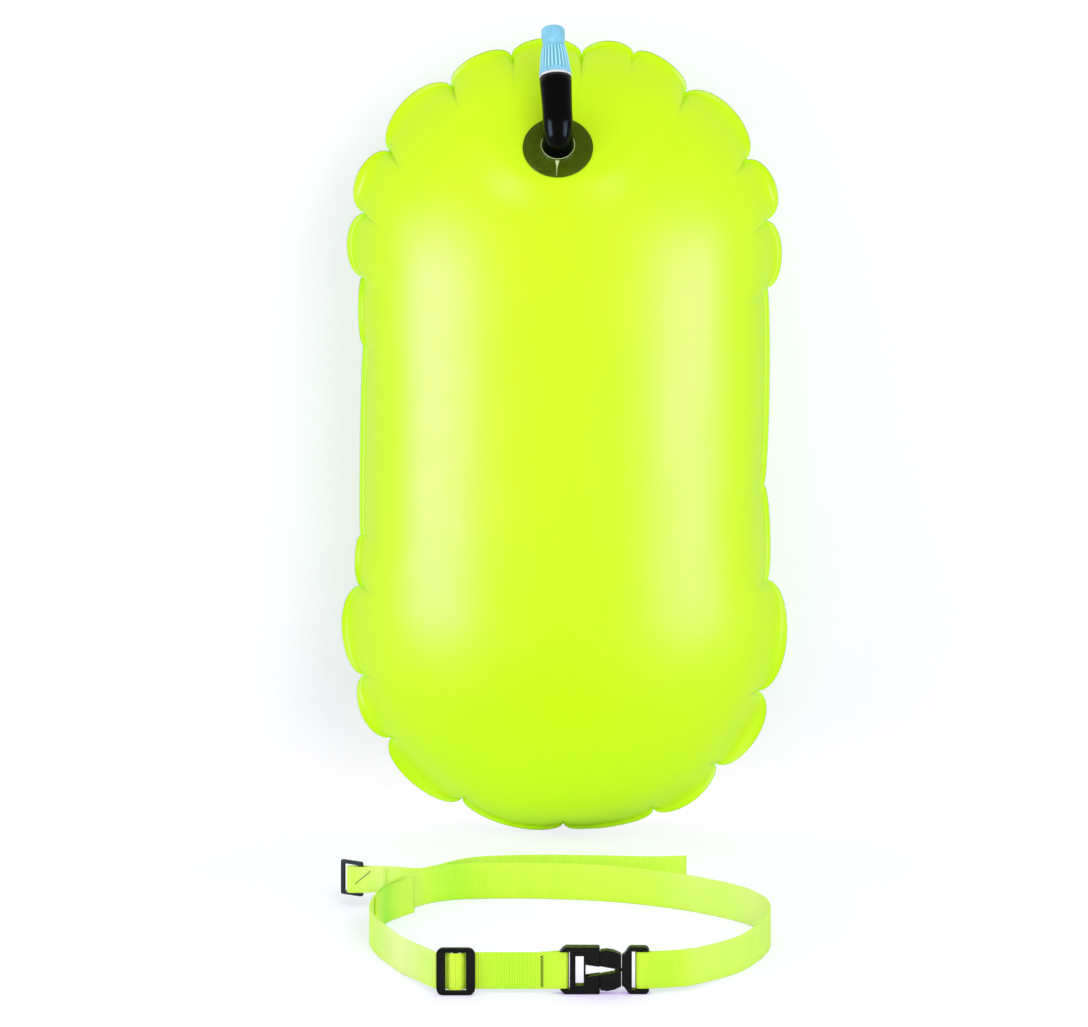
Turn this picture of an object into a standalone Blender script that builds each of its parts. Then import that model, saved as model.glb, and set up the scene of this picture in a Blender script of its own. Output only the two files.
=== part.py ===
"""Open water swim buoy: an inflated film bladder with a mouth valve, and its waist belt with leash strap.

The bladder stands on its bottom rim. The belt stands on its webbing edges in front of it. Metres, +Z up,
+X to the viewer's right, -Y towards the viewer.
"""

import math

import bmesh
import bpy
from mathutils import Matrix, Vector

# General clearances
GAP = 0.0003
OVERRUN = 0.002
FLOOR_CUT = 0.0005
MERGE = 0.00001
EDGE_ANGLE = math.radians(40)

# Bladder: overall size, film and the welded rim
BLADDER_HEIGHT = 0.5565
BLADDER_WIDTH = 0.3049
BLADDER_DEPTH = 0.200
FILM = 0.0006
WELD_BAND = 0.005
RIM_WAVE = 0.007
LOBE_STEPS = 5
LOBE_POWER = 0.5
RING_SHARES = (0.2, 0.5, 0.74, 0.9)
RIM_POWER = 6
PUCKER_SHARE = 0.12
PUCKER_POWER = 6
SIDE_ROUNDNESS_SHARE = 2.0
END_ROUNDNESS_SHARE = 3.2
CROWN_SHARE = 0.62

# Rim notches, clockwise from the top: across and up as shares of half the width and of the height,
# then the bulge of the lobe that follows as a share of its chord
NOTCH_SHARES = (
    (0.074, 0.979, 0.200),
    (0.306, 0.980, 0.244),
    (0.538, 0.929, 0.260),
    (0.813, 0.843, 0.324),
    (0.903, 0.767, 0.230),
    (0.909, 0.683, 0.020),
    (0.897, 0.435, 0.050),
    (0.913, 0.315, 0.214),
    (0.873, 0.175, 0.285),
    (0.676, 0.083, 0.214),
    (0.399, 0.025, 0.177),
    (-0.009, 0.007, 0.175),
    (-0.464, 0.039, 0.245),
    (-0.787, 0.116, 0.259),
    (-0.908, 0.195, 0.228),
    (-0.926, 0.308, 0.110),
    (-0.925, 0.371, 0.010),
    (-0.910, 0.611, 0.069),
    (-0.913, 0.697, 0.264),
    (-0.903, 0.776, 0.330),
    (-0.788, 0.853, 0.264),
    (-0.509, 0.939, 0.266),
    (-0.241, 0.978, 0.200),
)

# Valve flange on the front film
VALVE_ACROSS = -0.0046
VALVE_UP_SHARE = 0.8805
VALVE_TILT = math.radians(32)
VALVE_RISE = 0.005
FLANGE_RADIUS = 0.0245
FLANGE_THICKNESS = 0.0012
FLANGE_EDGE = 0.0005
SEAT_MARGIN = 0.004
SEAT_BLEND = 0.026
BOSS_RADIUS = 0.012
BOSS_HEIGHT = 0.0034
STUB_LENGTH = 0.0078
PORT_RADIUS = 0.0055
COLLAR_RADIUS = 0.009
COLLAR_DEPTH = 0.006

# Non-return flap and the cage that holds it under the collar
FLAP_RADIUS = 0.0076
FLAP_THICKNESS = 0.0008
FLAP_TRAVEL = 0.0015
CAGE_WALL = 0.001
CAGE_GRIP = 0.003
CAGE_FLOOR = 0.0008
CAGE_WINDOW_RADIUS = 0.0026
CAGE_WINDOW_PITCH_RADIUS = 0.0052
CAGE_WINDOWS = 4

# Inflation hose
HOSE_RADIUS = 0.010
HOSE_BORE_RADIUS = 0.0075
HOSE_REACH = 0.026
HOSE_RISE = 0.0404
HOSE_BEND = 0.0155
HOSE_LEAN = math.radians(2.9)
HOSE_FLARE_SHARE = 1.09
HOSE_BEND_STEPS = 8

# Mouth valve on the hose's end
BARREL_SPIGOT = 0.009
BARREL_SHOULDER = 0.0015
BARREL_NECK_RADIUS = 0.0072
BARREL_NECK_LENGTH = 0.0152
BARREL_BORE_RADIUS = 0.0056
SPIDER_HEIGHT = 0.003
SPIDER_THICKNESS = 0.002
SPIDER_WINDOW_RADIUS = 0.0012
SPIDER_WINDOW_PITCH_RADIUS = 0.0039
SPIDER_WINDOWS = 4
SEAL_RADIUS = 0.0111
SEAL_HEIGHT = 0.0018
MOUTH_SKIRT_RADIUS = 0.0110
MOUTH_RIM_HEIGHT = 0.0018
MOUTH_SKIRT_HEIGHT = 0.0200
MOUTH_SHOULDER_RADIUS = 0.0082
MOUTH_NOZZLE_RADIUS = 0.0077
MOUTH_NOZZLE_HEIGHT = 0.0131
MOUTH_EDGE = 0.0010
ROUND_SHARE = 0.3
MOUTH_BORE_RADIUS = 0.0042
MOUTH_STEP = 0.0006
MOUTH_WEB_RADIUS = 0.0034
MOUTH_WEB_THICKNESS = 0.0020
MOUTH_WEB_DROP = 0.0047
GRIP_GROOVES = 24
GRIP_GROOVE_RADIUS = 0.00075
PLUG_STEM_RADIUS = 0.0019
PLUG_HEAD_RADIUS = 0.0049
PLUG_HEAD_THICKNESS = 0.0016
PLUG_PILOT_RADIUS = 0.0026
RING_SECTION_RADIUS = 0.00075
RING_CENTRE_RADIUS = 0.0042

# Leash anchor on the back film
ANCHOR_RADIUS = 0.024
ANCHOR_THICKNESS = 0.0008
ANCHOR_HEIGHT_SHARE = 0.5
LOOP_SPAN = 0.024
LOOP_FOOT = 0.009
LOOP_RISE = 0.010

# The loop's arch: shares of half its span and of its rise
ANCHOR_LOOP_SHARES = (
    (-1, 0),
    (-0.72, 0.42),
    (-0.36, 0.87),
    (0, 1),
    (0.36, 0.87),
    (0.72, 0.42),
    (1, 0),
)

# Webbing, and the plan of the waist strap's loop
WEB_WIDTH = 0.025
WEB_THICKNESS = 0.0015
BELT_DISTANCE = 0.364
BELT_ACROSS = 0.004
BELT_HALF_WIDTH = 0.135
BELT_HALF_DEPTH = 0.146
FRONT_INSET = 0.002
FRONT_RUN = BELT_HALF_DEPTH - FRONT_INSET
HARDWARE_FADE = 0.070
WEB_SPACING = WEB_THICKNESS + GAP
WEB_STEP = 0.009

# The loop from the plug round by the right, the back and the left to the slide: shares of half the
# width and of half the depth, from the loop's centre
LOOP_SHARES = (
    (0.485, -0.975),
    (0.600, -0.915),
    (0.748, -0.700),
    (0.878, -0.440),
    (0.970, -0.130),
    (0.978, 0.170),
    (0.915, 0.375),
    (0.800, 0.540),
    (0.560, 0.745),
    (0.267, 0.900),
    (-0.030, 0.975),
    (-0.360, 0.995),
    (-0.640, 0.945),
    (-0.830, 0.740),
    (-0.950, 0.440),
    (-1.000, 0.110),
    (-0.972, -0.160),
    (-0.895, -0.420),
    (-0.800, -0.690),
    (-0.720, -0.900),
)

# Belt slide on the front run
SLIDE_ACROSS = -0.077
SLIDE_LENGTH = 0.0257
SLIDE_HEIGHT = 0.032
SLIDE_THICKNESS = 0.003
SLIDE_CORNER = 0.0045
SLIDE_WINDOW_LENGTH = 0.0138
SLIDE_WINDOW_HEIGHT = 0.0258
SLIDE_BAR = 0.004
SLIDE_BAR_THICKNESS = 0.0018
MOULD_EDGE = 0.0005

# Side-release buckle: lengths along the belt count from the socket's left edge
BUCKLE_ACROSS = -0.0084
BUCKLE_HEIGHT = 0.032
BUCKLE_THICKNESS = 0.009
SOCKET_LENGTH = 0.0268
SOCKET_CHAMFER = 0.0035
BAR_WIDTH = 0.0047
BAR_THICKNESS = 0.0032
WEB_SLOT_END = 0.0069
SLOT_HALF_HEIGHT = 0.0130
EYE_START = 0.0107
EYE_END = 0.0161
EYE_HALF_HEIGHT = 0.010
WINDOW_START = 0.0174
WINDOW_HALF_HEIGHT = 0.0041
WINDOW_APEX = 0.0366
WINDOW_APEX_HALF_HEIGHT = 0.0013
SOCKET_WALL = 0.0016
THROAT_HALF_HEIGHT = 0.0126
CATCH_HALF_HEIGHT = 0.0144
CATCH_DEPTH = 0.0025
PLUG_START = 0.0413
PLUG_LENGTH = 0.0182
PLUG_THICKNESS = 0.0076
PLUG_NECK_HALF_HEIGHT = 0.0105
PLUG_FLARE = 0.0052
PLUG_FLARE_SHARES = ((0.3, 0.12), (0.7, 0.68))
PLUG_SLOT_START = 0.0480
PLUG_BAR_CENTRE = 0.0536
TONGUE_HALF_HEIGHT = 0.0006
BLADE_THICKNESS = 0.0052
BLADE_TIP = 0.0195
BLADE_TIP_HALF_HEIGHT = 0.0118
BARB_HALF_HEIGHT = 0.0140
PAD_HALF_HEIGHT = 0.0138
PAD_HEEL_HALF_HEIGHT = 0.0132
PAD_TOE_HALF_HEIGHT = 0.0112
PAD_SHARES = ((0.08, 0), (0.35, 0.67), (0.68, 1))

# Ends of the waist strap
WAIST_TAIL = 0.040
SEWN_TAIL = 0.0125
FOLD_LEAD = 0.009

# Leash strap and its ring
LEASH_END_WIDTH = 0.018
LEASH_RING_HEIGHT = 0.0238
LEASH_RING_LENGTH = 0.0173
LEASH_RING_SECTION = 0.0024
LEASH_RING_CENTRE_HEIGHT = 0.0175
LEASH_RING_OUT = 0.0074
LEASH_RING_IN = 0.019
LEASH_RING_ACROSS = -BELT_HALF_WIDTH - LEASH_RING_OUT
LEASH_RING_BACK = BELT_HALF_DEPTH - LEASH_RING_IN
LEASH_RING_TURN = math.radians(145)
LEASH_FOLD_SLACK = 0.002
LEASH_SEWN_LENGTH = 0.024
LEASH_WIDEN_LENGTH = 0.030
TACK_START_SHARE = -0.748
TACK_END_SHARE = -0.659

# The leash's run behind the belt: shares of half the width and half the depth, after the tack
LEASH_SHARES = (
    (-0.500, 1.110),
    (-0.200, 1.165),
    (0.120, 1.155),
    (0.400, 1.130),
    (0.580, 1.150),
)


def clear_scene():
    for old in list(bpy.data.objects):
        bpy.data.objects.remove(old, do_unlink=True)


def make_collection(name, hidden=False):
    collection = bpy.data.collections.new(name)
    bpy.context.scene.collection.children.link(collection)
    collection.hide_render = hidden
    return collection


def make_empty(name, location, parent=None, rotation=None):
    empty = bpy.data.objects.new(name, None)
    PARTS.objects.link(empty)
    empty.location = location
    if rotation is not None:
        empty.rotation_euler = rotation.to_euler()
    empty.parent = parent
    return empty


def finish_object(name, mesh, parent, finish, location=(0, 0, 0)):
    """Names, places and colours one piece; finish is (colour, roughness, metallic, alpha)."""
    obj = bpy.data.objects.new(name, mesh)
    PARTS.objects.link(obj)
    obj.parent = parent
    obj.location = location
    colour, roughness, metallic, alpha = finish
    material = bpy.data.materials.new(name)
    material.use_nodes = True
    shader = material.node_tree.nodes["Principled BSDF"]
    shader.inputs["Base Color"].default_value = (*colour, 1)
    shader.inputs["Roughness"].default_value = roughness
    shader.inputs["Metallic"].default_value = metallic
    shader.inputs["Alpha"].default_value = alpha
    mesh.materials.clear()
    mesh.materials.append(material)
    return obj


def mesh_of_curve(curve):
    """The closed mesh of a curve, with its caps welded on."""
    holder = bpy.data.objects.new("guide", curve)
    CUTTERS.objects.link(holder)
    bpy.context.view_layer.update()
    evaluated = holder.evaluated_get(bpy.context.evaluated_depsgraph_get())
    mesh = bpy.data.meshes.new_from_object(evaluated)
    bpy.data.objects.remove(holder, do_unlink=True)
    form = bmesh.new()
    form.from_mesh(mesh)
    bmesh.ops.remove_doubles(form, verts=form.verts, dist=MERGE)
    form.to_mesh(mesh)
    form.free()
    return mesh


def plate(outline, thickness):
    """A flat outline given as (along, up), standing in the XZ plane and centred on its thickness."""
    curve = bpy.data.curves.new("outline", "CURVE")
    curve.dimensions = "2D"
    curve.fill_mode = "BOTH"
    curve.extrude = thickness / 2
    spline = curve.splines.new("POLY")
    spline.points.add(len(outline) - 1)
    for point, (along, up) in zip(spline.points, outline):
        point.co = (along, up, 0, 1)
    spline.use_cyclic_u = True
    mesh = mesh_of_curve(curve)
    mesh.transform(Matrix.Rotation(math.pi / 2, 4, "X"))
    return mesh


def block(low, high):
    """A box between two corners."""
    form = bmesh.new()
    bmesh.ops.create_cube(form, size=1)
    size = [b - a for a, b in zip(low, high)]
    middle = [(a + b) / 2 for a, b in zip(low, high)]
    bmesh.ops.scale(form, vec=size, verts=form.verts)
    bmesh.ops.translate(form, vec=middle, verts=form.verts)
    mesh = bpy.data.meshes.new("block")
    form.to_mesh(mesh)
    form.free()
    return mesh


def rod(radius, low, high, sides=16):
    """An upright cylinder from height low to height high."""
    form = bmesh.new()
    bmesh.ops.create_cone(
        form, cap_ends=True, segments=sides, radius1=radius, radius2=radius, depth=high - low
    )
    bmesh.ops.translate(form, vec=(0, 0, (low + high) / 2), verts=form.verts)
    mesh = bpy.data.meshes.new("rod")
    form.to_mesh(mesh)
    form.free()
    return mesh


def tube(points, radius, sides_each=4, flare_share=1):
    """A round tube along points, its last point widened to the flare share of the radius."""
    curve = bpy.data.curves.new("tube", "CURVE")
    curve.dimensions = "3D"
    curve.bevel_depth = radius
    curve.bevel_resolution = sides_each
    curve.use_fill_caps = True
    spline = curve.splines.new("POLY")
    spline.points.add(len(points) - 1)
    for point, place in zip(spline.points, points):
        point.co = (*place, 1)
    spline.points[-1].radius = flare_share
    return mesh_of_curve(curve)


def turned(name, profile, parent, finish, steps=32):
    """A profile of (radius, height) pairs, running down its outer side, turned about the parent's Z axis."""
    mesh = bpy.data.meshes.new(name)
    vertices = [(radius, 0, height) for radius, height in profile]
    count = len(profile)
    closed = profile[0][0] > 0
    edges = [(i, (i + 1) % count) for i in range(count if closed else count - 1)]
    mesh.from_pydata(vertices, edges, [])
    obj = finish_object(name, mesh, parent, finish)
    screw = obj.modifiers.new("turn", "SCREW")
    screw.steps = steps
    screw.render_steps = steps
    screw.use_merge_vertices = True
    screw.merge_threshold = MERGE
    screw.use_smooth_shade = True
    return obj


def combine(obj, mesh, operation="DIFFERENCE", place=None):
    """Cuts a mesh from a piece, or joins it on; the cutter stands where place puts it in the piece's frame."""
    cutter = bpy.data.objects.new(f"{obj.name}_{operation.lower()}_{len(obj.modifiers)}", mesh)
    CUTTERS.objects.link(cutter)
    cutter.parent = obj
    if place is not None:
        cutter.matrix_local = place
    cutter.hide_render = True
    cutter.display_type = "WIRE"
    boolean = obj.modifiers.new(operation.lower(), "BOOLEAN")
    boolean.operation = operation
    boolean.solver = "EXACT"
    boolean.object = cutter


def ring_of_rods(radius, pitch_radius, count, low, high):
    """One cutter of several upright rods spaced evenly round the axis."""
    form = bmesh.new()
    for index in range(count):
        angle = 2 * math.pi * (index + 0.5) / count
        made = bmesh.ops.create_cone(
            form, cap_ends=True, segments=10, radius1=radius, radius2=radius, depth=high - low
        )
        place = (
            pitch_radius * math.cos(angle),
            pitch_radius * math.sin(angle),
            (low + high) / 2,
        )
        bmesh.ops.translate(form, vec=place, verts=made["verts"])
    mesh = bpy.data.meshes.new("rods")
    form.to_mesh(mesh)
    form.free()
    return mesh


def soften(obj, width, segments=2):
    bevel = obj.modifiers.new("edges", "BEVEL")
    bevel.width = width
    bevel.segments = segments
    bevel.limit_method = "ANGLE"
    bevel.angle_limit = EDGE_ANGLE
    bevel.use_clamp_overlap = True


def smooth_step(value):
    value = min(max(value, 0), 1)
    return value * value * (3 - 2 * value)


# Bladder


def rim_points():
    """The scalloped outline: (across, up, ripple, lobe sign) at each step of each lobe."""
    half_width = BLADDER_WIDTH / 2
    notches = [(x * half_width, z * BLADDER_HEIGHT, bulge) for x, z, bulge in NOTCH_SHARES]
    points = []
    for index, (x, z, bulge) in enumerate(notches):
        next_x, next_z, _ = notches[(index + 1) % len(notches)]
        chord = Vector((next_x - x, next_z - z))
        outward = Vector((-chord.y, chord.x)).normalized()
        for step in range(LOBE_STEPS):
            share = (1 - math.cos(math.pi * step / LOBE_STEPS)) / 2
            hump = 4 * share * (1 - share)
            base = Vector((x, z)) + chord * share
            swell = outward * (bulge * chord.length * hump**LOBE_POWER)
            points.append((base, swell, 2 * hump - 1, (-1) ** index * hump))
    lowest = min(base.y + swell.y for base, swell, _, _ in points)
    drop = Vector((0, lowest + FLOOR_CUT))
    return [(base - drop, swell, ripple, side) for base, swell, ripple, side in points]


def crown(across, up, share):
    """The film's height off the weld plane at a share of the way from the centre to the weld."""
    side = across**2 / (across**2 + up**2)
    roundness = SIDE_ROUNDNESS_SHARE * side + END_ROUNDNESS_SHARE * (1 - side)
    return BLADDER_DEPTH / 2 * (1 - share**roundness) ** CROWN_SHARE


def valve_plane():
    """The centre of the valve seat on the film's inner face, and the seat's outward normal."""
    up = BLADDER_HEIGHT * VALVE_UP_SHARE
    share = (up - BLADDER_HEIGHT / 2) / (BLADDER_HEIGHT / 2 - WELD_BAND)
    depth = crown(0, 1, share) + VALVE_RISE
    centre = Vector((VALVE_ACROSS, -GAP / 2 - depth, up))
    normal = Vector((0, -math.cos(VALVE_TILT), math.sin(VALVE_TILT)))
    return centre, normal


def seated_on_valve(across, depth, up):
    """Draws the front film up to the flat seat round the valve."""
    centre, _ = valve_plane()
    flat = centre.y + math.tan(VALVE_TILT) * (up - centre.z)
    reach = math.hypot(across - centre.x, (up - centre.z) / math.cos(VALVE_TILT))
    outer = FLANGE_RADIUS + SEAT_MARGIN + SEAT_BLEND
    weight = smooth_step((outer - reach) / SEAT_BLEND)
    return depth + (flat - depth) * weight


def panel_mesh(side):
    """One film panel's inner face: side is -1 for the front and 1 for the back."""
    rim = rim_points()
    middle = Vector((0, BLADDER_HEIGHT / 2))
    flat_limit = BLADDER_DEPTH / 2 * (1 - RING_SHARES[0] ** SIDE_ROUNDNESS_SHARE) ** CROWN_SHARE
    rings = []
    for share in (*RING_SHARES, 1):
        ring = []
        for base, swell, ripple, lobe in rim:
            edge = base + swell - middle
            weld = edge - edge.normalized() * WELD_BAND
            inner = base - middle
            near_rim = share**RIM_POWER
            spot = weld * share if share == 1 else (inner + swell * near_rim) * share
            height = crown(spot.x, spot.y, share)
            height *= 1 + PUCKER_SHARE * ripple * share**PUCKER_POWER
            if side > 0:
                height = min(height, flat_limit)
            wave = RIM_WAVE * lobe * near_rim
            depth = side * (GAP / 2 + height) + wave
            if side < 0:
                depth = seated_on_valve(spot.x, depth, spot.y + middle.y)
            ring.append((spot.x, depth, spot.y + middle.y))
        rings.append(ring)
    rings.append([(p.x, side * GAP / 2 + RIM_WAVE * lobe, p.y) for p, lobe in rim_edge(rim)])
    top_height = flat_limit if side > 0 else BLADDER_DEPTH / 2
    centre = (0, side * (GAP / 2 + top_height), middle.y)
    vertices = [centre] + [place for ring in rings for place in ring]
    count = len(rim)
    faces = []
    for k in range(count):
        follow = (k + 1) % count
        faces.append((0, 1 + k, 1 + follow))
        for ring in range(len(rings) - 1):
            a = 1 + ring * count + k
            b = 1 + ring * count + follow
            faces.append((a, a + count, b + count, b))
    if side < 0:
        faces = [tuple(reversed(face)) for face in faces]
    mesh = bpy.data.meshes.new("panel")
    mesh.from_pydata(vertices, [], faces)
    mesh.update()
    return mesh


def rim_edge(rim):
    return [(base + swell, lobe) for base, swell, _, lobe in rim]


def add_panel(name, side, parent):
    obj = finish_object(name, panel_mesh(side), parent, FILM_FINISH)
    shell = obj.modifiers.new("film", "SOLIDIFY")
    shell.thickness = FILM
    shell.offset = 1
    floor = block(
        (-BLADDER_WIDTH, -BLADDER_DEPTH, -BLADDER_DEPTH), (BLADDER_WIDTH, BLADDER_DEPTH, 0)
    )
    combine(obj, floor)
    obj.data.shade_smooth()
    return obj


def add_bladder(parent):
    front = add_panel("front_panel", -1, parent)
    centre, normal = valve_plane()
    place = Matrix.Translation(centre) @ normal.to_track_quat("Z", "Y").to_matrix().to_4x4()
    hole = rod(COLLAR_RADIUS + GAP, -COLLAR_DEPTH, COLLAR_DEPTH, sides=32)
    combine(front, hole, place=place)
    add_panel("back_panel", 1, parent)


def add_anchor(parent):
    """A welded patch on the back film, with a sewn webbing loop for the leash."""
    flat_share = (1 - RING_SHARES[0] ** SIDE_ROUNDNESS_SHARE) ** CROWN_SHARE
    film_face = GAP / 2 + BLADDER_DEPTH / 2 * flat_share + FILM
    turn = Matrix.Rotation(-math.pi / 2, 4, "X")
    place = (0, film_face, BLADDER_HEIGHT * ANCHOR_HEIGHT_SHARE)
    holder = make_empty("anchor_axis", place, parent, turn)
    low = GAP
    high = GAP + ANCHOR_THICKNESS
    profile = [(0, high), (ANCHOR_RADIUS, high), (ANCHOR_RADIUS, low), (0, low)]
    turned("anchor_patch", profile, holder, FILM_FINISH, steps=40)
    foot = high + GAP + WEB_THICKNESS / 2
    half = LOOP_SPAN / 2
    arch = [Vector((half * x, foot + LOOP_RISE * y)) for x, y in ANCHOR_LOOP_SHARES]
    left_end = Vector((-half - LOOP_FOOT, foot))
    right_end = Vector((half + LOOP_FOOT, foot))
    route = [left_end, *arch, right_end]
    widths = [WEB_WIDTH] * len(route)
    loop = webbing("anchor_loop", route, [0] * len(route), widths, parent)
    loop.matrix_local = (
        Matrix.Translation((0, film_face, place[2])) @ Matrix.Rotation(-math.pi / 2, 4, "Y")
    )


# Valve


def add_valve(parent):
    centre, normal = valve_plane()
    face = centre + normal * FILM
    turn = normal.to_track_quat("Z", "Y").to_matrix().to_4x4()
    holder = make_empty("valve_axis", face, parent, turn)
    stub_radius = HOSE_BORE_RADIUS - GAP
    top = BOSS_HEIGHT + STUB_LENGTH
    disc_top = GAP + FLANGE_THICKNESS
    profile = [
        (PORT_RADIUS, top),
        (stub_radius, top),
        (stub_radius, BOSS_HEIGHT),
        (BOSS_RADIUS, BOSS_HEIGHT),
        (BOSS_RADIUS, disc_top),
        (FLANGE_RADIUS - FLANGE_EDGE, disc_top),
        (FLANGE_RADIUS, disc_top - FLANGE_EDGE),
        (FLANGE_RADIUS, GAP),
        (COLLAR_RADIUS, GAP),
        (COLLAR_RADIUS, -COLLAR_DEPTH),
        (PORT_RADIUS, -COLLAR_DEPTH),
    ]
    turned("valve_flange", profile, holder, FLANGE_FINISH, steps=48)
    flap_top = -COLLAR_DEPTH - GAP
    flap_bottom = flap_top - FLAP_THICKNESS
    profile = [(0, flap_top), (FLAP_RADIUS, flap_top), (FLAP_RADIUS, flap_bottom), (0, flap_bottom)]
    turned("check_flap", profile, holder, SILICONE_FINISH, steps=24)
    inner = COLLAR_RADIUS + GAP
    floor_top = flap_bottom - FLAP_TRAVEL - GAP
    floor_bottom = floor_top - CAGE_FLOOR
    rim_top = -COLLAR_DEPTH + CAGE_GRIP
    profile = [
        (inner, rim_top),
        (inner + CAGE_WALL, rim_top),
        (inner + CAGE_WALL, floor_bottom),
        (0, floor_bottom),
        (0, floor_top),
        (inner, floor_top),
    ]
    cage = turned_cup("flap_cage", profile, holder, DARK_FINISH)
    windows = ring_of_rods(
        CAGE_WINDOW_RADIUS,
        CAGE_WINDOW_PITCH_RADIUS,
        CAGE_WINDOWS,
        floor_bottom - OVERRUN,
        floor_top + FLAP_TRAVEL / 2,
    )
    combine(cage, windows)


def turned_cup(name, profile, parent, finish, steps=32):
    """A turned piece whose profile starts and ends on its own axis in the middle of the list."""
    start = next(i for i, point in enumerate(profile) if point[0] == 0) + 1
    ordered = profile[start:] + profile[:start]
    return turned(name, ordered, parent, finish, steps)


def hose_route():
    """Out from the flange's boss, round a right-angled elbow, then up beside the film to the mouth valve."""
    centre, normal = valve_plane()
    face = centre + normal * FILM
    slope = Vector((0, math.sin(VALVE_TILT), math.cos(VALVE_TILT)))
    rise = slope * math.cos(HOSE_LEAN) - Vector((math.sin(HOSE_LEAN), 0, 0))
    corner = face + normal * HOSE_REACH
    start = face + normal * (BOSS_HEIGHT + GAP)
    bend_in = corner - normal * HOSE_BEND
    bend_out = corner + rise * HOSE_BEND
    end = corner + rise * HOSE_RISE
    points = [start]
    for step in range(HOSE_BEND_STEPS + 1):
        share = step / HOSE_BEND_STEPS
        near = bend_in.lerp(corner, share)
        far = corner.lerp(bend_out, share)
        points.append(near.lerp(far, share))
    points.append(end)
    return points, normal, rise


def add_hose(parent):
    points, normal, rise = hose_route()
    outside = tube(points, HOSE_RADIUS, 6, HOSE_FLARE_SHARE)
    hose = finish_object("inflation_hose", outside, parent, HOSE_FINISH)
    bore = [points[0] - normal * OVERRUN, *points[1:-1], points[-1] + rise * OVERRUN]
    combine(hose, tube(bore, HOSE_BORE_RADIUS, 6))
    turn = rise.to_track_quat("Z", "Y").to_matrix().to_4x4()
    return make_empty("mouth_axis", points[-1], parent, turn)


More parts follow.
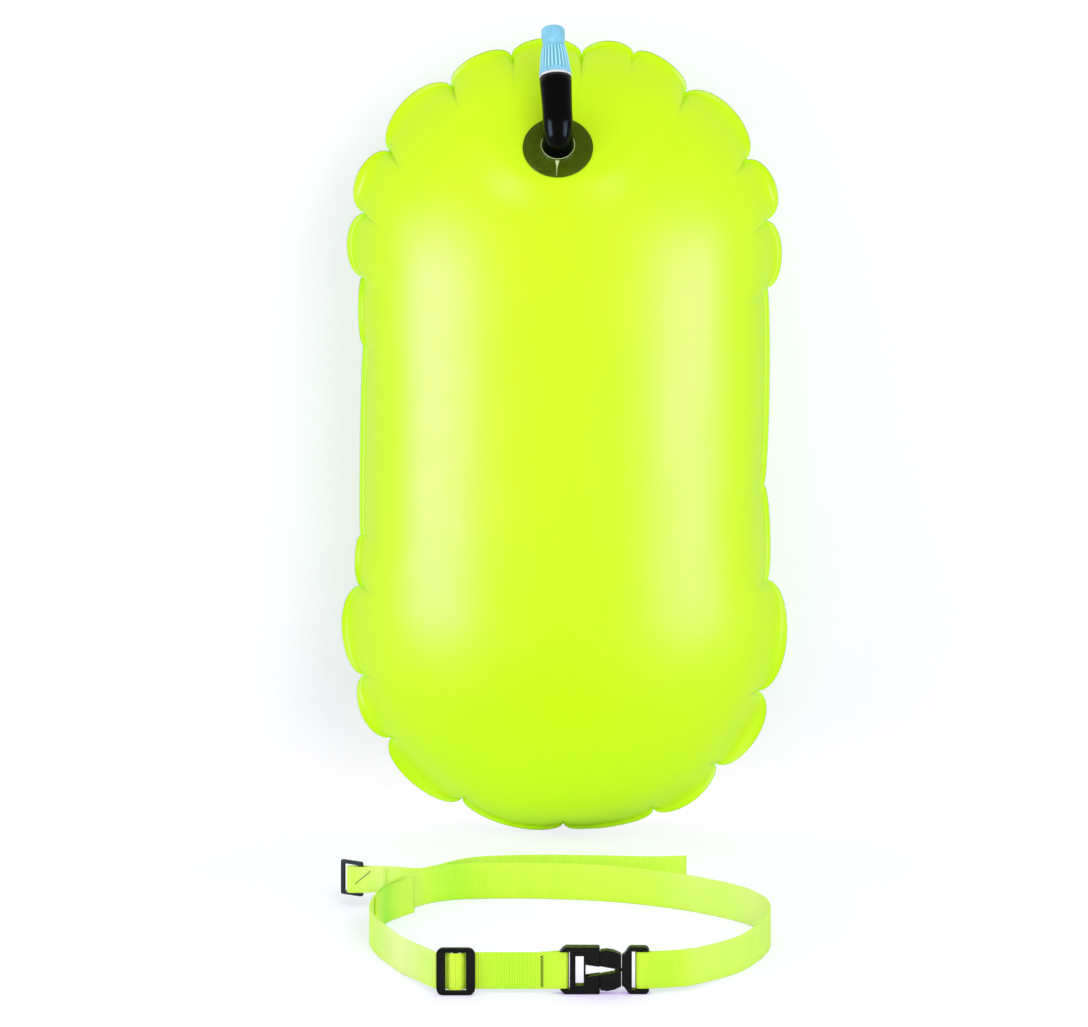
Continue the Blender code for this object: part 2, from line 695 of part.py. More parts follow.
def add_mouth_valve(holder):
    """The barrel in the hose's end, its white seal, the ribbed mouthpiece and the plug inside."""
    spigot_radius = HOSE_BORE_RADIUS - GAP
    shoulder_top = GAP + BARREL_SHOULDER
    neck_top = shoulder_top + BARREL_NECK_LENGTH
    profile = [
        (BARREL_BORE_RADIUS, neck_top),
        (BARREL_NECK_RADIUS, neck_top),
        (BARREL_NECK_RADIUS, shoulder_top),
        (HOSE_RADIUS * HOSE_FLARE_SHARE, shoulder_top),
        (HOSE_RADIUS * HOSE_FLARE_SHARE, GAP),
        (spigot_radius, GAP),
        (spigot_radius, -BARREL_SPIGOT),
        (BARREL_BORE_RADIUS, -BARREL_SPIGOT),
        (BARREL_BORE_RADIUS, SPIDER_HEIGHT),
        (PLUG_STEM_RADIUS + GAP, SPIDER_HEIGHT),
        (PLUG_STEM_RADIUS + GAP, SPIDER_HEIGHT + SPIDER_THICKNESS),
        (BARREL_BORE_RADIUS, SPIDER_HEIGHT + SPIDER_THICKNESS),
    ]
    barrel = turned("nozzle_barrel", profile, holder, DARK_FINISH)
    windows = ring_of_rods(
        SPIDER_WINDOW_RADIUS,
        SPIDER_WINDOW_PITCH_RADIUS,
        SPIDER_WINDOWS,
        SPIDER_HEIGHT - OVERRUN,
        SPIDER_HEIGHT + SPIDER_THICKNESS + OVERRUN,
    )
    combine(barrel, windows)

    seal_low = shoulder_top + GAP
    seal_high = seal_low + SEAL_HEIGHT
    seal_bore = BARREL_NECK_RADIUS + GAP
    profile = [
        (seal_bore, seal_high),
        (SEAL_RADIUS - MOUTH_EDGE / 2, seal_high),
        (SEAL_RADIUS, seal_high - MOUTH_EDGE / 2),
        (SEAL_RADIUS, seal_low + MOUTH_EDGE / 2),
        (SEAL_RADIUS - MOUTH_EDGE / 2, seal_low),
        (seal_bore, seal_low),
    ]
    turned("seal_ring", profile, holder, SEAL_FINISH)

    base = seal_high + GAP
    rib_base = base + MOUTH_RIM_HEIGHT
    shoulder = base + MOUTH_SKIRT_HEIGHT
    tip = shoulder + MOUTH_STEP + MOUTH_NOZZLE_HEIGHT
    web_top = shoulder - MOUTH_WEB_DROP + MOUTH_WEB_THICKNESS
    web_low = web_top - MOUTH_WEB_THICKNESS
    cavity = BARREL_NECK_RADIUS + GAP
    profile = [
        (MOUTH_BORE_RADIUS, tip),
        (MOUTH_NOZZLE_RADIUS - MOUTH_EDGE, tip),
        (MOUTH_NOZZLE_RADIUS - MOUTH_EDGE * ROUND_SHARE, tip - MOUTH_EDGE * ROUND_SHARE),
        (MOUTH_NOZZLE_RADIUS, tip - MOUTH_EDGE),
        (MOUTH_NOZZLE_RADIUS, shoulder + MOUTH_STEP),
        (MOUTH_SHOULDER_RADIUS, shoulder),
        (MOUTH_SKIRT_RADIUS - GAP, rib_base + MOUTH_STEP),
        (MOUTH_SKIRT_RADIUS, rib_base),
        (MOUTH_SKIRT_RADIUS, base),
        (cavity, base),
        (cavity, web_low),
        (MOUTH_WEB_RADIUS, web_low),
        (MOUTH_WEB_RADIUS, web_top),
        (MOUTH_BORE_RADIUS, web_top + MOUTH_STEP),
    ]
    mouth = turned("mouthpiece", profile, holder, MOUTH_FINISH, steps=48)
    combine(mouth, grip_cutter(rib_base + MOUTH_STEP, shoulder))

    seat = web_low - GAP
    ring_centre = seat - RING_SECTION_RADIUS
    head_top = ring_centre - RING_SECTION_RADIUS - GAP
    head_low = head_top - PLUG_HEAD_THICKNESS
    profile = [
        (0, seat),
        (PLUG_PILOT_RADIUS, seat),
        (PLUG_PILOT_RADIUS, head_top),
        (PLUG_HEAD_RADIUS, head_top),
        (PLUG_HEAD_RADIUS, head_low),
        (PLUG_STEM_RADIUS, head_low),
        (PLUG_STEM_RADIUS, SPIDER_HEIGHT - MOUTH_EDGE),
        (0, SPIDER_HEIGHT - MOUTH_EDGE),
    ]
    turned("valve_plug", profile, holder, DARK_FINISH, steps=24)
    section = 12
    profile = [
        (
            RING_CENTRE_RADIUS + RING_SECTION_RADIUS * math.sin(2 * math.pi * k / section),
            ring_centre + RING_SECTION_RADIUS * math.cos(2 * math.pi * k / section),
        )
        for k in range(section)
    ]
    turned("plug_seal", profile, holder, SILICONE_FINISH, steps=24)


def grip_cutter(low, high):
    """Grooves up the tapering skirt, one leaning rod for each, round the axis."""
    form = bmesh.new()
    slope = math.atan2(MOUTH_SKIRT_RADIUS - GAP - MOUTH_SHOULDER_RADIUS, high - low)
    middle_radius = (MOUTH_SKIRT_RADIUS + MOUTH_SHOULDER_RADIUS) / 2
    for index in range(GRIP_GROOVES):
        made = bmesh.ops.create_cone(
            form,
            cap_ends=True,
            segments=6,
            radius1=GRIP_GROOVE_RADIUS,
            radius2=GRIP_GROOVE_RADIUS,
            depth=(high - low) - MOUTH_RIM_HEIGHT / 2,
        )
        lean = Matrix.Rotation(-slope, 4, "Y")
        shift = Matrix.Translation((middle_radius, 0, (low + high) / 2))
        spin = Matrix.Rotation(2 * math.pi * index / GRIP_GROOVES, 4, "Z")
        bmesh.ops.transform(form, matrix=spin @ shift @ lean, verts=made["verts"])
    mesh = bpy.data.meshes.new("grooves")
    form.to_mesh(mesh)
    form.free()
    return mesh


# Webbing


def smooth_route(points, spacing):
    """Points along a smooth curve through the given ones, about the given spacing apart."""
    ends = [points[0] * 2 - points[1], *points, points[-1] * 2 - points[-2]]
    route = [points[0].copy()]
    for a, b, c, d in zip(ends, ends[1:], ends[2:], ends[3:]):
        steps = max(1, round((c - b).length / spacing))
        for step in range(1, steps + 1):
            t = step / steps
            route.append(
                (
                    b * 2
                    + (c - a) * t
                    + (a * 2 - b * 5 + c * 4 - d) * t**2
                    + (b * 3 - a - c * 3 + d) * t**3
                )
                / 2
            )
    return route


def half_turn(centre, radius, start_angle, sweep, steps=8):
    """Points round a bar."""
    turns = [start_angle + sweep * k / steps for k in range(steps + 1)]
    return [centre + Vector((math.cos(a), math.sin(a))) * radius for a in turns]


def beside(points, distance):
    """The same run moved sideways, to the left of its direction; distance may be one per point."""
    moved = []
    for index, point in enumerate(points):
        before = points[max(index - 1, 0)]
        after = points[min(index + 1, len(points) - 1)]
        along = (after - before).normalized()
        step = distance[index] if isinstance(distance, list) else distance
        moved.append(point + Vector((-along.y, along.x)) * step)
    return moved


def run_lengths(points):
    total = 0
    lengths = [0]
    for a, b in zip(points, points[1:]):
        total += (b - a).length
        lengths.append(total)
    return lengths


def webbing(name, route, heights, widths, parent):
    """Webbing standing on edge along a plan route, with its middle height and width at each point."""
    vertices = []
    for point, height, width in zip(route, heights, widths):
        vertices.append((point.x, point.y, height - width / 2))
        vertices.append((point.x, point.y, height + width / 2))
    faces = [(2 * k, 2 * k + 2, 2 * k + 3, 2 * k + 1) for k in range(len(route) - 1)]
    mesh = bpy.data.meshes.new(name)
    mesh.from_pydata(vertices, [], faces)
    mesh.update()
    obj = finish_object(name, mesh, parent, WEB_FINISH)
    solid = obj.modifiers.new("thickness", "SOLIDIFY")
    solid.thickness = WEB_THICKNESS
    solid.offset = 0
    solid.use_even_offset = True
    return obj


def loop_points():
    """The free part of the waist strap: round from the plug to the belt slide."""
    places = [Vector((x * BELT_HALF_WIDTH, y * BELT_HALF_DEPTH)) for x, y in LOOP_SHARES]
    bar_wrap = BAR_THICKNESS / 2 + GAP + WEB_THICKNESS / 2
    plug_bar = BUCKLE_ACROSS + PLUG_BAR_CENTRE
    first = Vector((plug_bar, -FRONT_RUN - bar_wrap))
    last = Vector((SLIDE_ACROSS - SLIDE_LENGTH / 2, -FRONT_RUN - bar_wrap))
    return smooth_route([first, *places, last], WEB_STEP)


def waist_route():
    wrap = BAR_THICKNESS / 2 + GAP + WEB_THICKNESS / 2
    loop = loop_points()
    lengths = run_lengths(loop)
    tail = [point for point, length in zip(loop, lengths) if length < WAIST_TAIL]
    apart = [
        WEB_SPACING + (2 * wrap - WEB_SPACING) * (1 - smooth_step(length / FOLD_LEAD))
        for length in lengths[: len(tail)]
    ]
    tail = beside(tail, apart)
    plug_bar = Vector((BUCKLE_ACROSS + PLUG_BAR_CENTRE, -FRONT_RUN))
    plug_fold = half_turn(plug_bar, wrap, math.pi / 2, math.pi)[1:-1]
    slide = slide_hump(-FRONT_RUN - wrap)
    fold_centre = Vector((BUCKLE_ACROSS + BAR_WIDTH - BAR_THICKNESS / 2, -FRONT_RUN))
    socket_fold = half_turn(fold_centre, wrap, -math.pi / 2, math.pi)
    front = -FRONT_RUN - wrap
    sewn = [
        Vector((BUCKLE_ACROSS + GAP, -FRONT_RUN + wrap)),
        Vector((BUCKLE_ACROSS - FOLD_LEAD / 2, (front + WEB_SPACING - FRONT_RUN + wrap) / 2)),
        Vector((BUCKLE_ACROSS - FOLD_LEAD, front + WEB_SPACING)),
        Vector((BUCKLE_ACROSS - SEWN_TAIL, front + WEB_SPACING)),
    ]
    return [*reversed(tail), *plug_fold, *loop, *slide, *socket_fold, *sewn]


def slide_hump(line):
    """The strap through the belt slide: behind its side bars and over its middle bar."""
    inner = SLIDE_WINDOW_LENGTH / 2
    rise = SLIDE_BAR_THICKNESS + GAP * 2 + WEB_THICKNESS
    foot = inner - GAP * 2
    knee = SLIDE_BAR / 2 + GAP * 2
    shares = ((-foot, 0), (-knee, 1), (knee, 1), (foot, 0))
    places = [Vector((SLIDE_ACROSS + x, line - rise * up)) for x, up in shares]
    return [*places, Vector((SLIDE_ACROSS + SLIDE_LENGTH / 2, line))]


def hardware_heights(route):
    """The webbing's middle height: up at the hardware, and down to the floor round the loop."""
    raised = BUCKLE_HEIGHT / 2
    lying = WEB_WIDTH / 2
    heights = []
    for point in route:
        back = point.y + FRONT_RUN
        share = smooth_step(1 - back / HARDWARE_FADE)
        heights.append(lying + (raised - lying) * share)
    return heights


def add_waist_strap(belt):
    route = waist_route()
    webbing("waist_strap", route, hardware_heights(route), [WEB_WIDTH] * len(route), belt)


def leash_route():
    """From the sewn tail round the ring's bar, behind the belt, to the cut end."""
    loop = loop_points()
    start = BELT_HALF_WIDTH * TACK_START_SHARE
    end = BELT_HALF_WIDTH * TACK_END_SHARE
    tack = [p for p in loop if start < p.x < end and p.y > BELT_HALF_DEPTH / 2]
    tack = list(reversed(beside(tack, -WEB_SPACING)))
    run = [Vector((x * BELT_HALF_WIDTH, y * BELT_HALF_DEPTH)) for x, y in LEASH_SHARES]
    bar = Vector((LEASH_RING_ACROSS, LEASH_RING_BACK))
    wrap = math.hypot(LEASH_RING_SECTION, LEASH_RING_SECTION) / 2 + GAP + WEB_THICKNESS / 2
    turn_centre = bar - Vector((LEASH_FOLD_SLACK, 0))
    over_bar = LEASH_FOLD_SLACK + LEASH_RING_SECTION
    back_leave = turn_centre + Vector((0, wrap))
    past_bar = back_leave + Vector((over_bar, 0))
    joined = bar + Vector((FOLD_LEAD, wrap / 2))
    main = smooth_route([back_leave, past_bar, joined, *tack, *run], WEB_STEP)
    lengths = run_lengths(main)
    doubled = [p for p, length in zip(main, lengths) if length < LEASH_SEWN_LENGTH]
    apart = [
        -WEB_SPACING - (2 * wrap - WEB_SPACING) * (1 - smooth_step((length - over_bar) / FOLD_LEAD))
        for length in lengths[: len(doubled)]
    ]
    doubled = beside(doubled, apart)
    fold = half_turn(turn_centre, wrap, -math.pi / 2, -math.pi)[1:-1]
    return [*reversed(doubled), *fold, *main]


def add_leash(belt):
    route = leash_route()
    widths = []
    heights = []
    for point in route:
        reach = point.x - LEASH_RING_ACROSS
        share = smooth_step((reach - LEASH_SEWN_LENGTH / 2) / LEASH_WIDEN_LENGTH)
        widths.append(LEASH_END_WIDTH + (WEB_WIDTH - LEASH_END_WIDTH) * share)
        heights.append(LEASH_RING_CENTRE_HEIGHT + (WEB_WIDTH / 2 - LEASH_RING_CENTRE_HEIGHT) * share)
    webbing("leash_strap", route, heights, widths, belt)
    place = (LEASH_RING_ACROSS, LEASH_RING_BACK, LEASH_RING_CENTRE_HEIGHT)
    holder = make_empty("leash_ring_axis", place, belt, Matrix.Rotation(LEASH_RING_TURN, 4, "Z"))
    half = LEASH_RING_SECTION / 2
    reach = LEASH_RING_LENGTH - half
    rise = LEASH_RING_HEIGHT / 2
    outline = rounded_box(-half, reach, rise, LEASH_RING_SECTION / 2)
    ring = finish_object("leash_ring", plate(outline, LEASH_RING_SECTION), holder, PLASTIC_FINISH)
    window = block(
        (half, -OVERRUN, LEASH_RING_SECTION - rise),
        (reach - LEASH_RING_SECTION, OVERRUN, rise - LEASH_RING_SECTION),
    )
    combine(ring, window)
    soften(ring, MOULD_EDGE)


# Belt hardware


def rounded_box(left, right, half_height, corner, steps=4):
    """An upright rectangle's outline with round corners."""
    corners = (
        (right - corner, half_height - corner, 0),
        (left + corner, half_height - corner, 1),
        (left + corner, corner - half_height, 2),
        (right - corner, corner - half_height, 3),
    )
    outline = []
    for x, z, quarter in corners:
        for step in range(steps + 1):
            angle = math.pi / 2 * (quarter + step / steps)
            outline.append((x + corner * math.cos(angle), z + corner * math.sin(angle)))
    return outline


def add_belt_slide(belt):
    wrap = BAR_THICKNESS / 2 + GAP + WEB_THICKNESS / 2
    back_face = -WEB_THICKNESS / 2 - GAP
    place = (SLIDE_ACROSS, -FRONT_RUN - wrap, BUCKLE_HEIGHT / 2)
    holder = make_empty("belt_slide_place", place, belt)
    outline = rounded_box(-SLIDE_LENGTH / 2, SLIDE_LENGTH / 2, SLIDE_HEIGHT / 2, SLIDE_CORNER)
    middle = back_face - SLIDE_THICKNESS / 2
    frame = finish_object("belt_slide", plate(outline, SLIDE_THICKNESS), holder, PLASTIC_FINISH)
    frame.location = (0, middle, 0)
    half_length = SLIDE_WINDOW_LENGTH / 2
    half_height = SLIDE_WINDOW_HEIGHT / 2
    combine(frame, block((-half_length, -OVERRUN, -half_height), (half_length, OVERRUN, half_height)))
    bar_back = SLIDE_THICKNESS / 2
    bar = block(
        (-SLIDE_BAR / 2, bar_back - SLIDE_BAR_THICKNESS, -half_height - OVERRUN / 2),
        (SLIDE_BAR / 2, bar_back, half_height + OVERRUN / 2),
    )
    combine(frame, bar, "UNION")
    soften(frame, MOULD_EDGE)


def add_socket(holder):
    half = BUCKLE_HEIGHT / 2
    corner = half - SOCKET_CHAMFER
    outline = [
        (0, -corner),
        (SOCKET_CHAMFER, -half),
        (SOCKET_LENGTH, -half),
        (SOCKET_LENGTH, half),
        (SOCKET_CHAMFER, half),
        (0, corner),
    ]
    socket = finish_object("buckle_socket", plate(outline, BUCKLE_THICKNESS), holder, PLASTIC_FINISH)
    soften(socket, MOULD_EDGE * 2)
    thick = BUCKLE_THICKNESS / 2 + OVERRUN
    web = SLOT_HALF_HEIGHT
    bar_end = BAR_WIDTH - BAR_THICKNESS / 2
    combine(socket, block((bar_end, -thick, -web), (WEB_SLOT_END, thick, web)))
    for side in (-1, 1):
        near = side * BAR_THICKNESS / 2
        far = side * thick
        low = (-OVERRUN, min(near, far), -web)
        high = (bar_end + OVERRUN / 2, max(near, far), web)
        combine(socket, block(low, high))
    bar = rod(BAR_THICKNESS / 2, -web - OVERRUN / 2, web + OVERRUN / 2)
    combine(socket, bar, "UNION", Matrix.Translation((bar_end, 0, 0)))
    eye = EYE_HALF_HEIGHT
    combine(socket, block((EYE_START, -thick, -eye), (EYE_END, thick, eye)))
    hollow = BUCKLE_THICKNESS / 2 - SOCKET_WALL
    throat = THROAT_HALF_HEIGHT
    mouth = SOCKET_LENGTH + OVERRUN
    combine(socket, block((WINDOW_START, -hollow, -throat), (mouth, hollow, throat)))
    catch_end = SOCKET_LENGTH - CATCH_DEPTH
    catch = CATCH_HALF_HEIGHT
    combine(socket, block((WINDOW_START, -hollow, -catch), (catch_end, hollow, catch)))
    slope = (WINDOW_HALF_HEIGHT - WINDOW_APEX_HALF_HEIGHT) / (WINDOW_APEX - WINDOW_START)
    at_mouth = WINDOW_HALF_HEIGHT - slope * (mouth - WINDOW_START)
    wedge = [
        (WINDOW_START, -WINDOW_HALF_HEIGHT),
        (mouth, -at_mouth),
        (mouth, at_mouth),
        (WINDOW_START, WINDOW_HALF_HEIGHT),
    ]
    combine(socket, plate(wedge, 2 * thick))


def add_plug(holder):
    half = BUCKLE_HEIGHT / 2
    end = PLUG_START + PLUG_LENGTH
    neck = PLUG_NECK_HALF_HEIGHT
    flare = PLUG_START + PLUG_FLARE
    round_off = SOCKET_CHAMFER / 2
    rise = half - neck
    curve = [(PLUG_START + PLUG_FLARE * x, neck + rise * z) for x, z in PLUG_FLARE_SHARES]
    outline = [
        (PLUG_START, -neck),
        *[(x, -z) for x, z in curve],
        (flare, -half),
        (end - round_off, -half),
        (end, round_off - half),
        (end, half - round_off),
        (end - round_off, half),
        (flare, half),
        *reversed(curve),
        (PLUG_START, neck),
    ]
    plug = finish_object("buckle_plug", plate(outline, PLUG_THICKNESS), holder, PLASTIC_FINISH)
    soften(plug, MOULD_EDGE * 2)
    thick = PLUG_THICKNESS / 2 + OVERRUN
    web = SLOT_HALF_HEIGHT
    combine(plug, block((PLUG_SLOT_START, -thick, -web), (end + OVERRUN, thick, web)))
    bar = rod(BAR_THICKNESS / 2, -web - OVERRUN / 2, web + OVERRUN / 2)
    combine(plug, bar, "UNION", Matrix.Translation((PLUG_BAR_CENTRE, 0, 0)))
    blade = BLADE_THICKNESS / 2
    tongue = block(
        (WINDOW_APEX, -blade, -TONGUE_HALF_HEIGHT),
        (PLUG_START + OVERRUN, blade, TONGUE_HALF_HEIGHT),
    )
    combine(plug, tongue, "UNION")


def arm_outline(side):
    """The thin blade that goes into the socket, barb and all; side is 1 above and -1 below."""
    root = PLUG_START - GAP
    slope = (WINDOW_HALF_HEIGHT - WINDOW_APEX_HALF_HEIGHT) / (WINDOW_APEX - WINDOW_START)
    inner_tip = WINDOW_HALF_HEIGHT - slope * (BLADE_TIP - WINDOW_START) + GAP
    catch = SOCKET_LENGTH - CATCH_DEPTH - GAP
    throat = THROAT_HALF_HEIGHT - GAP
    outline = [
        (root, WINDOW_APEX_HALF_HEIGHT),
        (root, PLUG_NECK_HALF_HEIGHT),
        (SOCKET_LENGTH + GAP, throat),
        (catch, throat),
        (catch, BARB_HALF_HEIGHT),
        (catch - CATCH_DEPTH, BARB_HALF_HEIGHT),
        (BLADE_TIP, BLADE_TIP_HALF_HEIGHT),
        (BLADE_TIP, inner_tip),
        (WINDOW_APEX, WINDOW_APEX_HALF_HEIGHT),
    ]
    return [(x, side * z) for x, z in (outline if side > 0 else reversed(outline))]


def pad_outline(side):
    """The thick thumb pad outside the socket, bowed outwards."""
    root = PLUG_START - GAP
    start = SOCKET_LENGTH + GAP
    run = root - start
    bow = PAD_HALF_HEIGHT - PAD_TOE_HALF_HEIGHT
    slope = (WINDOW_HALF_HEIGHT - WINDOW_APEX_HALF_HEIGHT) / (WINDOW_APEX - WINDOW_START)
    inner = WINDOW_HALF_HEIGHT - slope * (start - WINDOW_START) + GAP
    outline = [
        (root, WINDOW_APEX_HALF_HEIGHT),
        (root, PLUG_NECK_HALF_HEIGHT),
        *[(root - run * x, PAD_TOE_HALF_HEIGHT + bow * z) for x, z in PAD_SHARES],
        (start, PAD_HEEL_HALF_HEIGHT),
        (start, inner),
        (WINDOW_APEX, WINDOW_APEX_HALF_HEIGHT),
    ]
    return [(x, side * z) for x, z in (outline if side > 0 else reversed(outline))]


def add_arm(name, side, holder):
    pivot = Vector((PLUG_START - GAP, 0, side * WINDOW_APEX_HALF_HEIGHT))
    blade = plate(arm_outline(side), BLADE_THICKNESS)
    pad = plate(pad_outline(side), PLUG_THICKNESS)
    for mesh in (blade, pad):
        mesh.transform(Matrix.Translation(-pivot))
    arm = finish_object(name, pad, holder, PLASTIC_FINISH, pivot)
    combine(arm, blade, "UNION")


def add_buckle(belt):
    place = (BUCKLE_ACROSS, -FRONT_RUN, BUCKLE_HEIGHT / 2)
    holder = make_empty("buckle_place", place, belt)
    add_socket(holder)
    plug_holder = make_empty("plug_place", (0, 0, 0), holder)
    add_plug(plug_holder)
    add_arm("release_arm_upper", 1, plug_holder)
    add_arm("release_arm_lower", -1, plug_holder)


def stand_on_centre(root):
    """Moves the whole set so that the middle of its footprint box is at the origin."""
    bpy.context.view_layer.update()
    graph = bpy.context.evaluated_depsgraph_get()
    low = Vector((math.inf, math.inf, math.inf))
    high = -low
    for obj in PARTS.objects:
        if obj.type != "MESH":
            continue
        evaluated = obj.evaluated_get(graph)
        for vertex in evaluated.data.vertices:
            place = obj.matrix_world @ vertex.co
            low = Vector(map(min, low, place))
            high = Vector(map(max, high, place))
    root.location = (-(low.x + high.x) / 2, -(low.y + high.y) / 2, -low.z)
    bpy.context.view_layer.update()
    print("size in mm", [round(side * 1000, 1) for side in high - low])
    print("set moved by mm", [round(part * 1000, 2) for part in root.location])


FILM_FINISH = ((0.65, 1.0, 0.01), 0.22, 0, 1)
FLANGE_FINISH = ((0.045, 0.07, 0.0), 0.25, 0, 1)
SILICONE_FINISH = ((0.75, 0.75, 0.72), 0.5, 0, 1)
DARK_FINISH = ((0.01, 0.01, 0.01), 0.35, 0, 1)
HOSE_FINISH = ((0.008, 0.008, 0.008), 0.18, 0, 1)
SEAL_FINISH = ((0.85, 0.85, 0.85), 0.4, 0, 1)
MOUTH_FINISH = ((0.22, 0.55, 0.90), 0.35, 0, 1)
WEB_FINISH = ((0.55, 1.0, 0.05), 0.75, 0, 1)
PLASTIC_FINISH = ((0.006, 0.006, 0.006), 0.35, 0, 1)

clear_scene()
PARTS = make_collection("swim_buoy")
CUTTERS = make_collection("cutters", hidden=True)


def main():
    root = make_empty("swim_buoy_place", (0, 0, 0))
    add_bladder(root)
    add_anchor(root)
    add_valve(root)
    mouth_axis = add_hose(root)
    add_mouth_valve(mouth_axis)
    belt = make_empty("belt_place", (BELT_ACROSS, -BELT_DISTANCE, 0), root)
    add_waist_strap(belt)
    add_belt_slide(belt)
    add_buckle(belt)
    add_leash(belt)
    stand_on_centre(root)


main()
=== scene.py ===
import math

import bpy
from mathutils import Matrix, Vector


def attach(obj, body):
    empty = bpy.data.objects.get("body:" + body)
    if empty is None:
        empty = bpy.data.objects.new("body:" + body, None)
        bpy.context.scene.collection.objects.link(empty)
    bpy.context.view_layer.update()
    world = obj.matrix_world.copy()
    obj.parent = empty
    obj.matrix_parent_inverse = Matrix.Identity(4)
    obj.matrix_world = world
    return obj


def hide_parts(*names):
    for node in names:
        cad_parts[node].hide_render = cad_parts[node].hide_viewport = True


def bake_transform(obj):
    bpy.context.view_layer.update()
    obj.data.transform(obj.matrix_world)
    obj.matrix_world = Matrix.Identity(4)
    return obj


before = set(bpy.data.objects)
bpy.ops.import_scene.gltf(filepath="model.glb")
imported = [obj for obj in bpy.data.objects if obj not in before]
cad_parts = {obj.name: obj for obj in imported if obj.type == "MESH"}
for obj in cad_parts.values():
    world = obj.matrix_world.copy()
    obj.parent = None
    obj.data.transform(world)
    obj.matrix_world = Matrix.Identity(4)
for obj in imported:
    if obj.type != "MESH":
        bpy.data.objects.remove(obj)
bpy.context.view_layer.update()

scene = bpy.context.scene
# where the bladder and the belt have their own zero
bladderHome = Vector((0.000463, 0.202058, 0.000061))
beltHome = Vector((0.004463, -0.161942, 0.000061))
print("frame loaded:", len(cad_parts), "nodes")

# camera

shot = {
    "lens": 577.0,
    "sensorWidth": 36,
    "nearest": 0.1,
    "furthest": 80,
    "distance": 12.0,
    "elevation": math.radians(11.25),
    "aimAcross": -0.0141,
    "aimUp": 0.2228,
}


def placeCamera():
    aim = Vector((shot["aimAcross"], bladderHome.y, shot["aimUp"]))
    back = Vector((0, -math.cos(shot["elevation"]), math.sin(shot["elevation"])))
    cameraData = bpy.data.cameras.new("photoCamera")
    cameraData.lens = shot["lens"]
    cameraData.sensor_width = shot["sensorWidth"]
    cameraData.clip_start = shot["nearest"]
    cameraData.clip_end = shot["furthest"]
    camera = bpy.data.objects.new("photoCamera", cameraData)
    camera.location = aim + back * shot["distance"]
    camera.rotation_euler = (-back).to_track_quat("-Z", "Y").to_euler()
    scene.collection.objects.link(camera)
    scene.camera = camera


placeCamera()
scene.view_settings.view_transform = "Standard"
print("camera placed")

# materials


def startMaterial(name, colour, roughness):
    material = bpy.data.materials.new(name)
    material.use_nodes = True
    shader = material.node_tree.nodes["Principled BSDF"]
    shader.inputs["Base Color"].default_value = (*colour, 1)
    shader.inputs["Roughness"].default_value = roughness
    return material, shader


def addNode(material, kind, **sockets):
    node = material.node_tree.nodes.new(kind)
    for name, value in sockets.items():
        node.inputs[name].default_value = value
    return node


def join(material, source, target):
    material.node_tree.links.new(source, target)


def ramp(material, source, stops):
    node = material.node_tree.nodes.new("ShaderNodeValToRGB")
    elements = node.color_ramp.elements
    while len(elements) < len(stops):
        elements.new(0.5)
    for element, (position, value) in zip(elements, stops):
        element.position = position
        element.color = (*value, 1) if isinstance(value, tuple) else (value, value, value, 1)
    join(material, source, node.inputs["Fac"])
    return node.outputs["Color"]


def rampAcross(material, source, span, first, last):
    return ramp(material, source, [(span[0], first), (span[1], last)])


def place(material, kind="Object"):
    return material.node_tree.nodes.new("ShaderNodeTexCoord").outputs[kind]


def axes(material, kind="Object"):
    split = material.node_tree.nodes.new("ShaderNodeSeparateXYZ")
    join(material, place(material, kind), split.inputs["Vector"])
    return split.outputs


def grain(material, size, detail):
    node = addNode(material, "ShaderNodeTexNoise", Scale=1 / size, Detail=detail)
    join(material, place(material), node.inputs["Vector"])
    return node.outputs["Fac"]


def bump(material, shader, height, depth, strength):
    node = addNode(material, "ShaderNodeBump", Strength=strength, Distance=depth)
    join(material, height, node.inputs["Height"])
    join(material, node.outputs["Normal"], shader.inputs["Normal"])


def feed(material, value, socket):
    # a colour, a number, or what another node gives
    if isinstance(value, tuple):
        socket.default_value = (*value, 1)
    elif isinstance(value, (int, float)):
        socket.default_value = value
    else:
        join(material, value, socket)


def calc(material, operation, first, second=0):
    node = material.node_tree.nodes.new("ShaderNodeMath")
    node.operation = operation
    for socket, value in zip(node.inputs, (first, second)):
        feed(material, value, socket)
    return node.outputs["Value"]


def blendColours(material, share, first, second, kind="MIX"):
    node = material.node_tree.nodes.new("ShaderNodeMix")
    node.data_type = "RGBA"
    node.blend_type = kind
    # a colour mix takes its colours in sockets 6 and 7, and gives one in 2
    for number, value in ((0, share), (6, first), (7, second)):
        feed(material, value, node.inputs[number])
    return node.outputs[2]


def painted(material, name):
    node = material.node_tree.nodes.new("ShaderNodeAttribute")
    node.attribute_name = name
    return node.outputs["Fac"]


grainSpan = (0.3, 0.7)

filmLook = {
    "middle": (0.665, 1.0, 0.005),
    "cloudy": (0.640, 1.0, 0.004),
    "weld": (0.62, 1.0, 0.002),
    # dark olive painted along the cut edge as painted shade
    "edge": (0.30, 0.50, 0.004),
    "cloudSize": 0.12,
    "cloudSpan": (0.35, 0.65),
    "weldSpan": (0.30, 0.52),
    "edgeSpan": (0.02, 0.07),
    "roughness": 0.40,
    "roughSize": 0.03,
    "roughRange": (0.36, 0.44),
    "gloss": 0.22,
    "peel": 0.0011,
    "peelDepth": 0.00004,
    "peelStrength": 0.5,
}


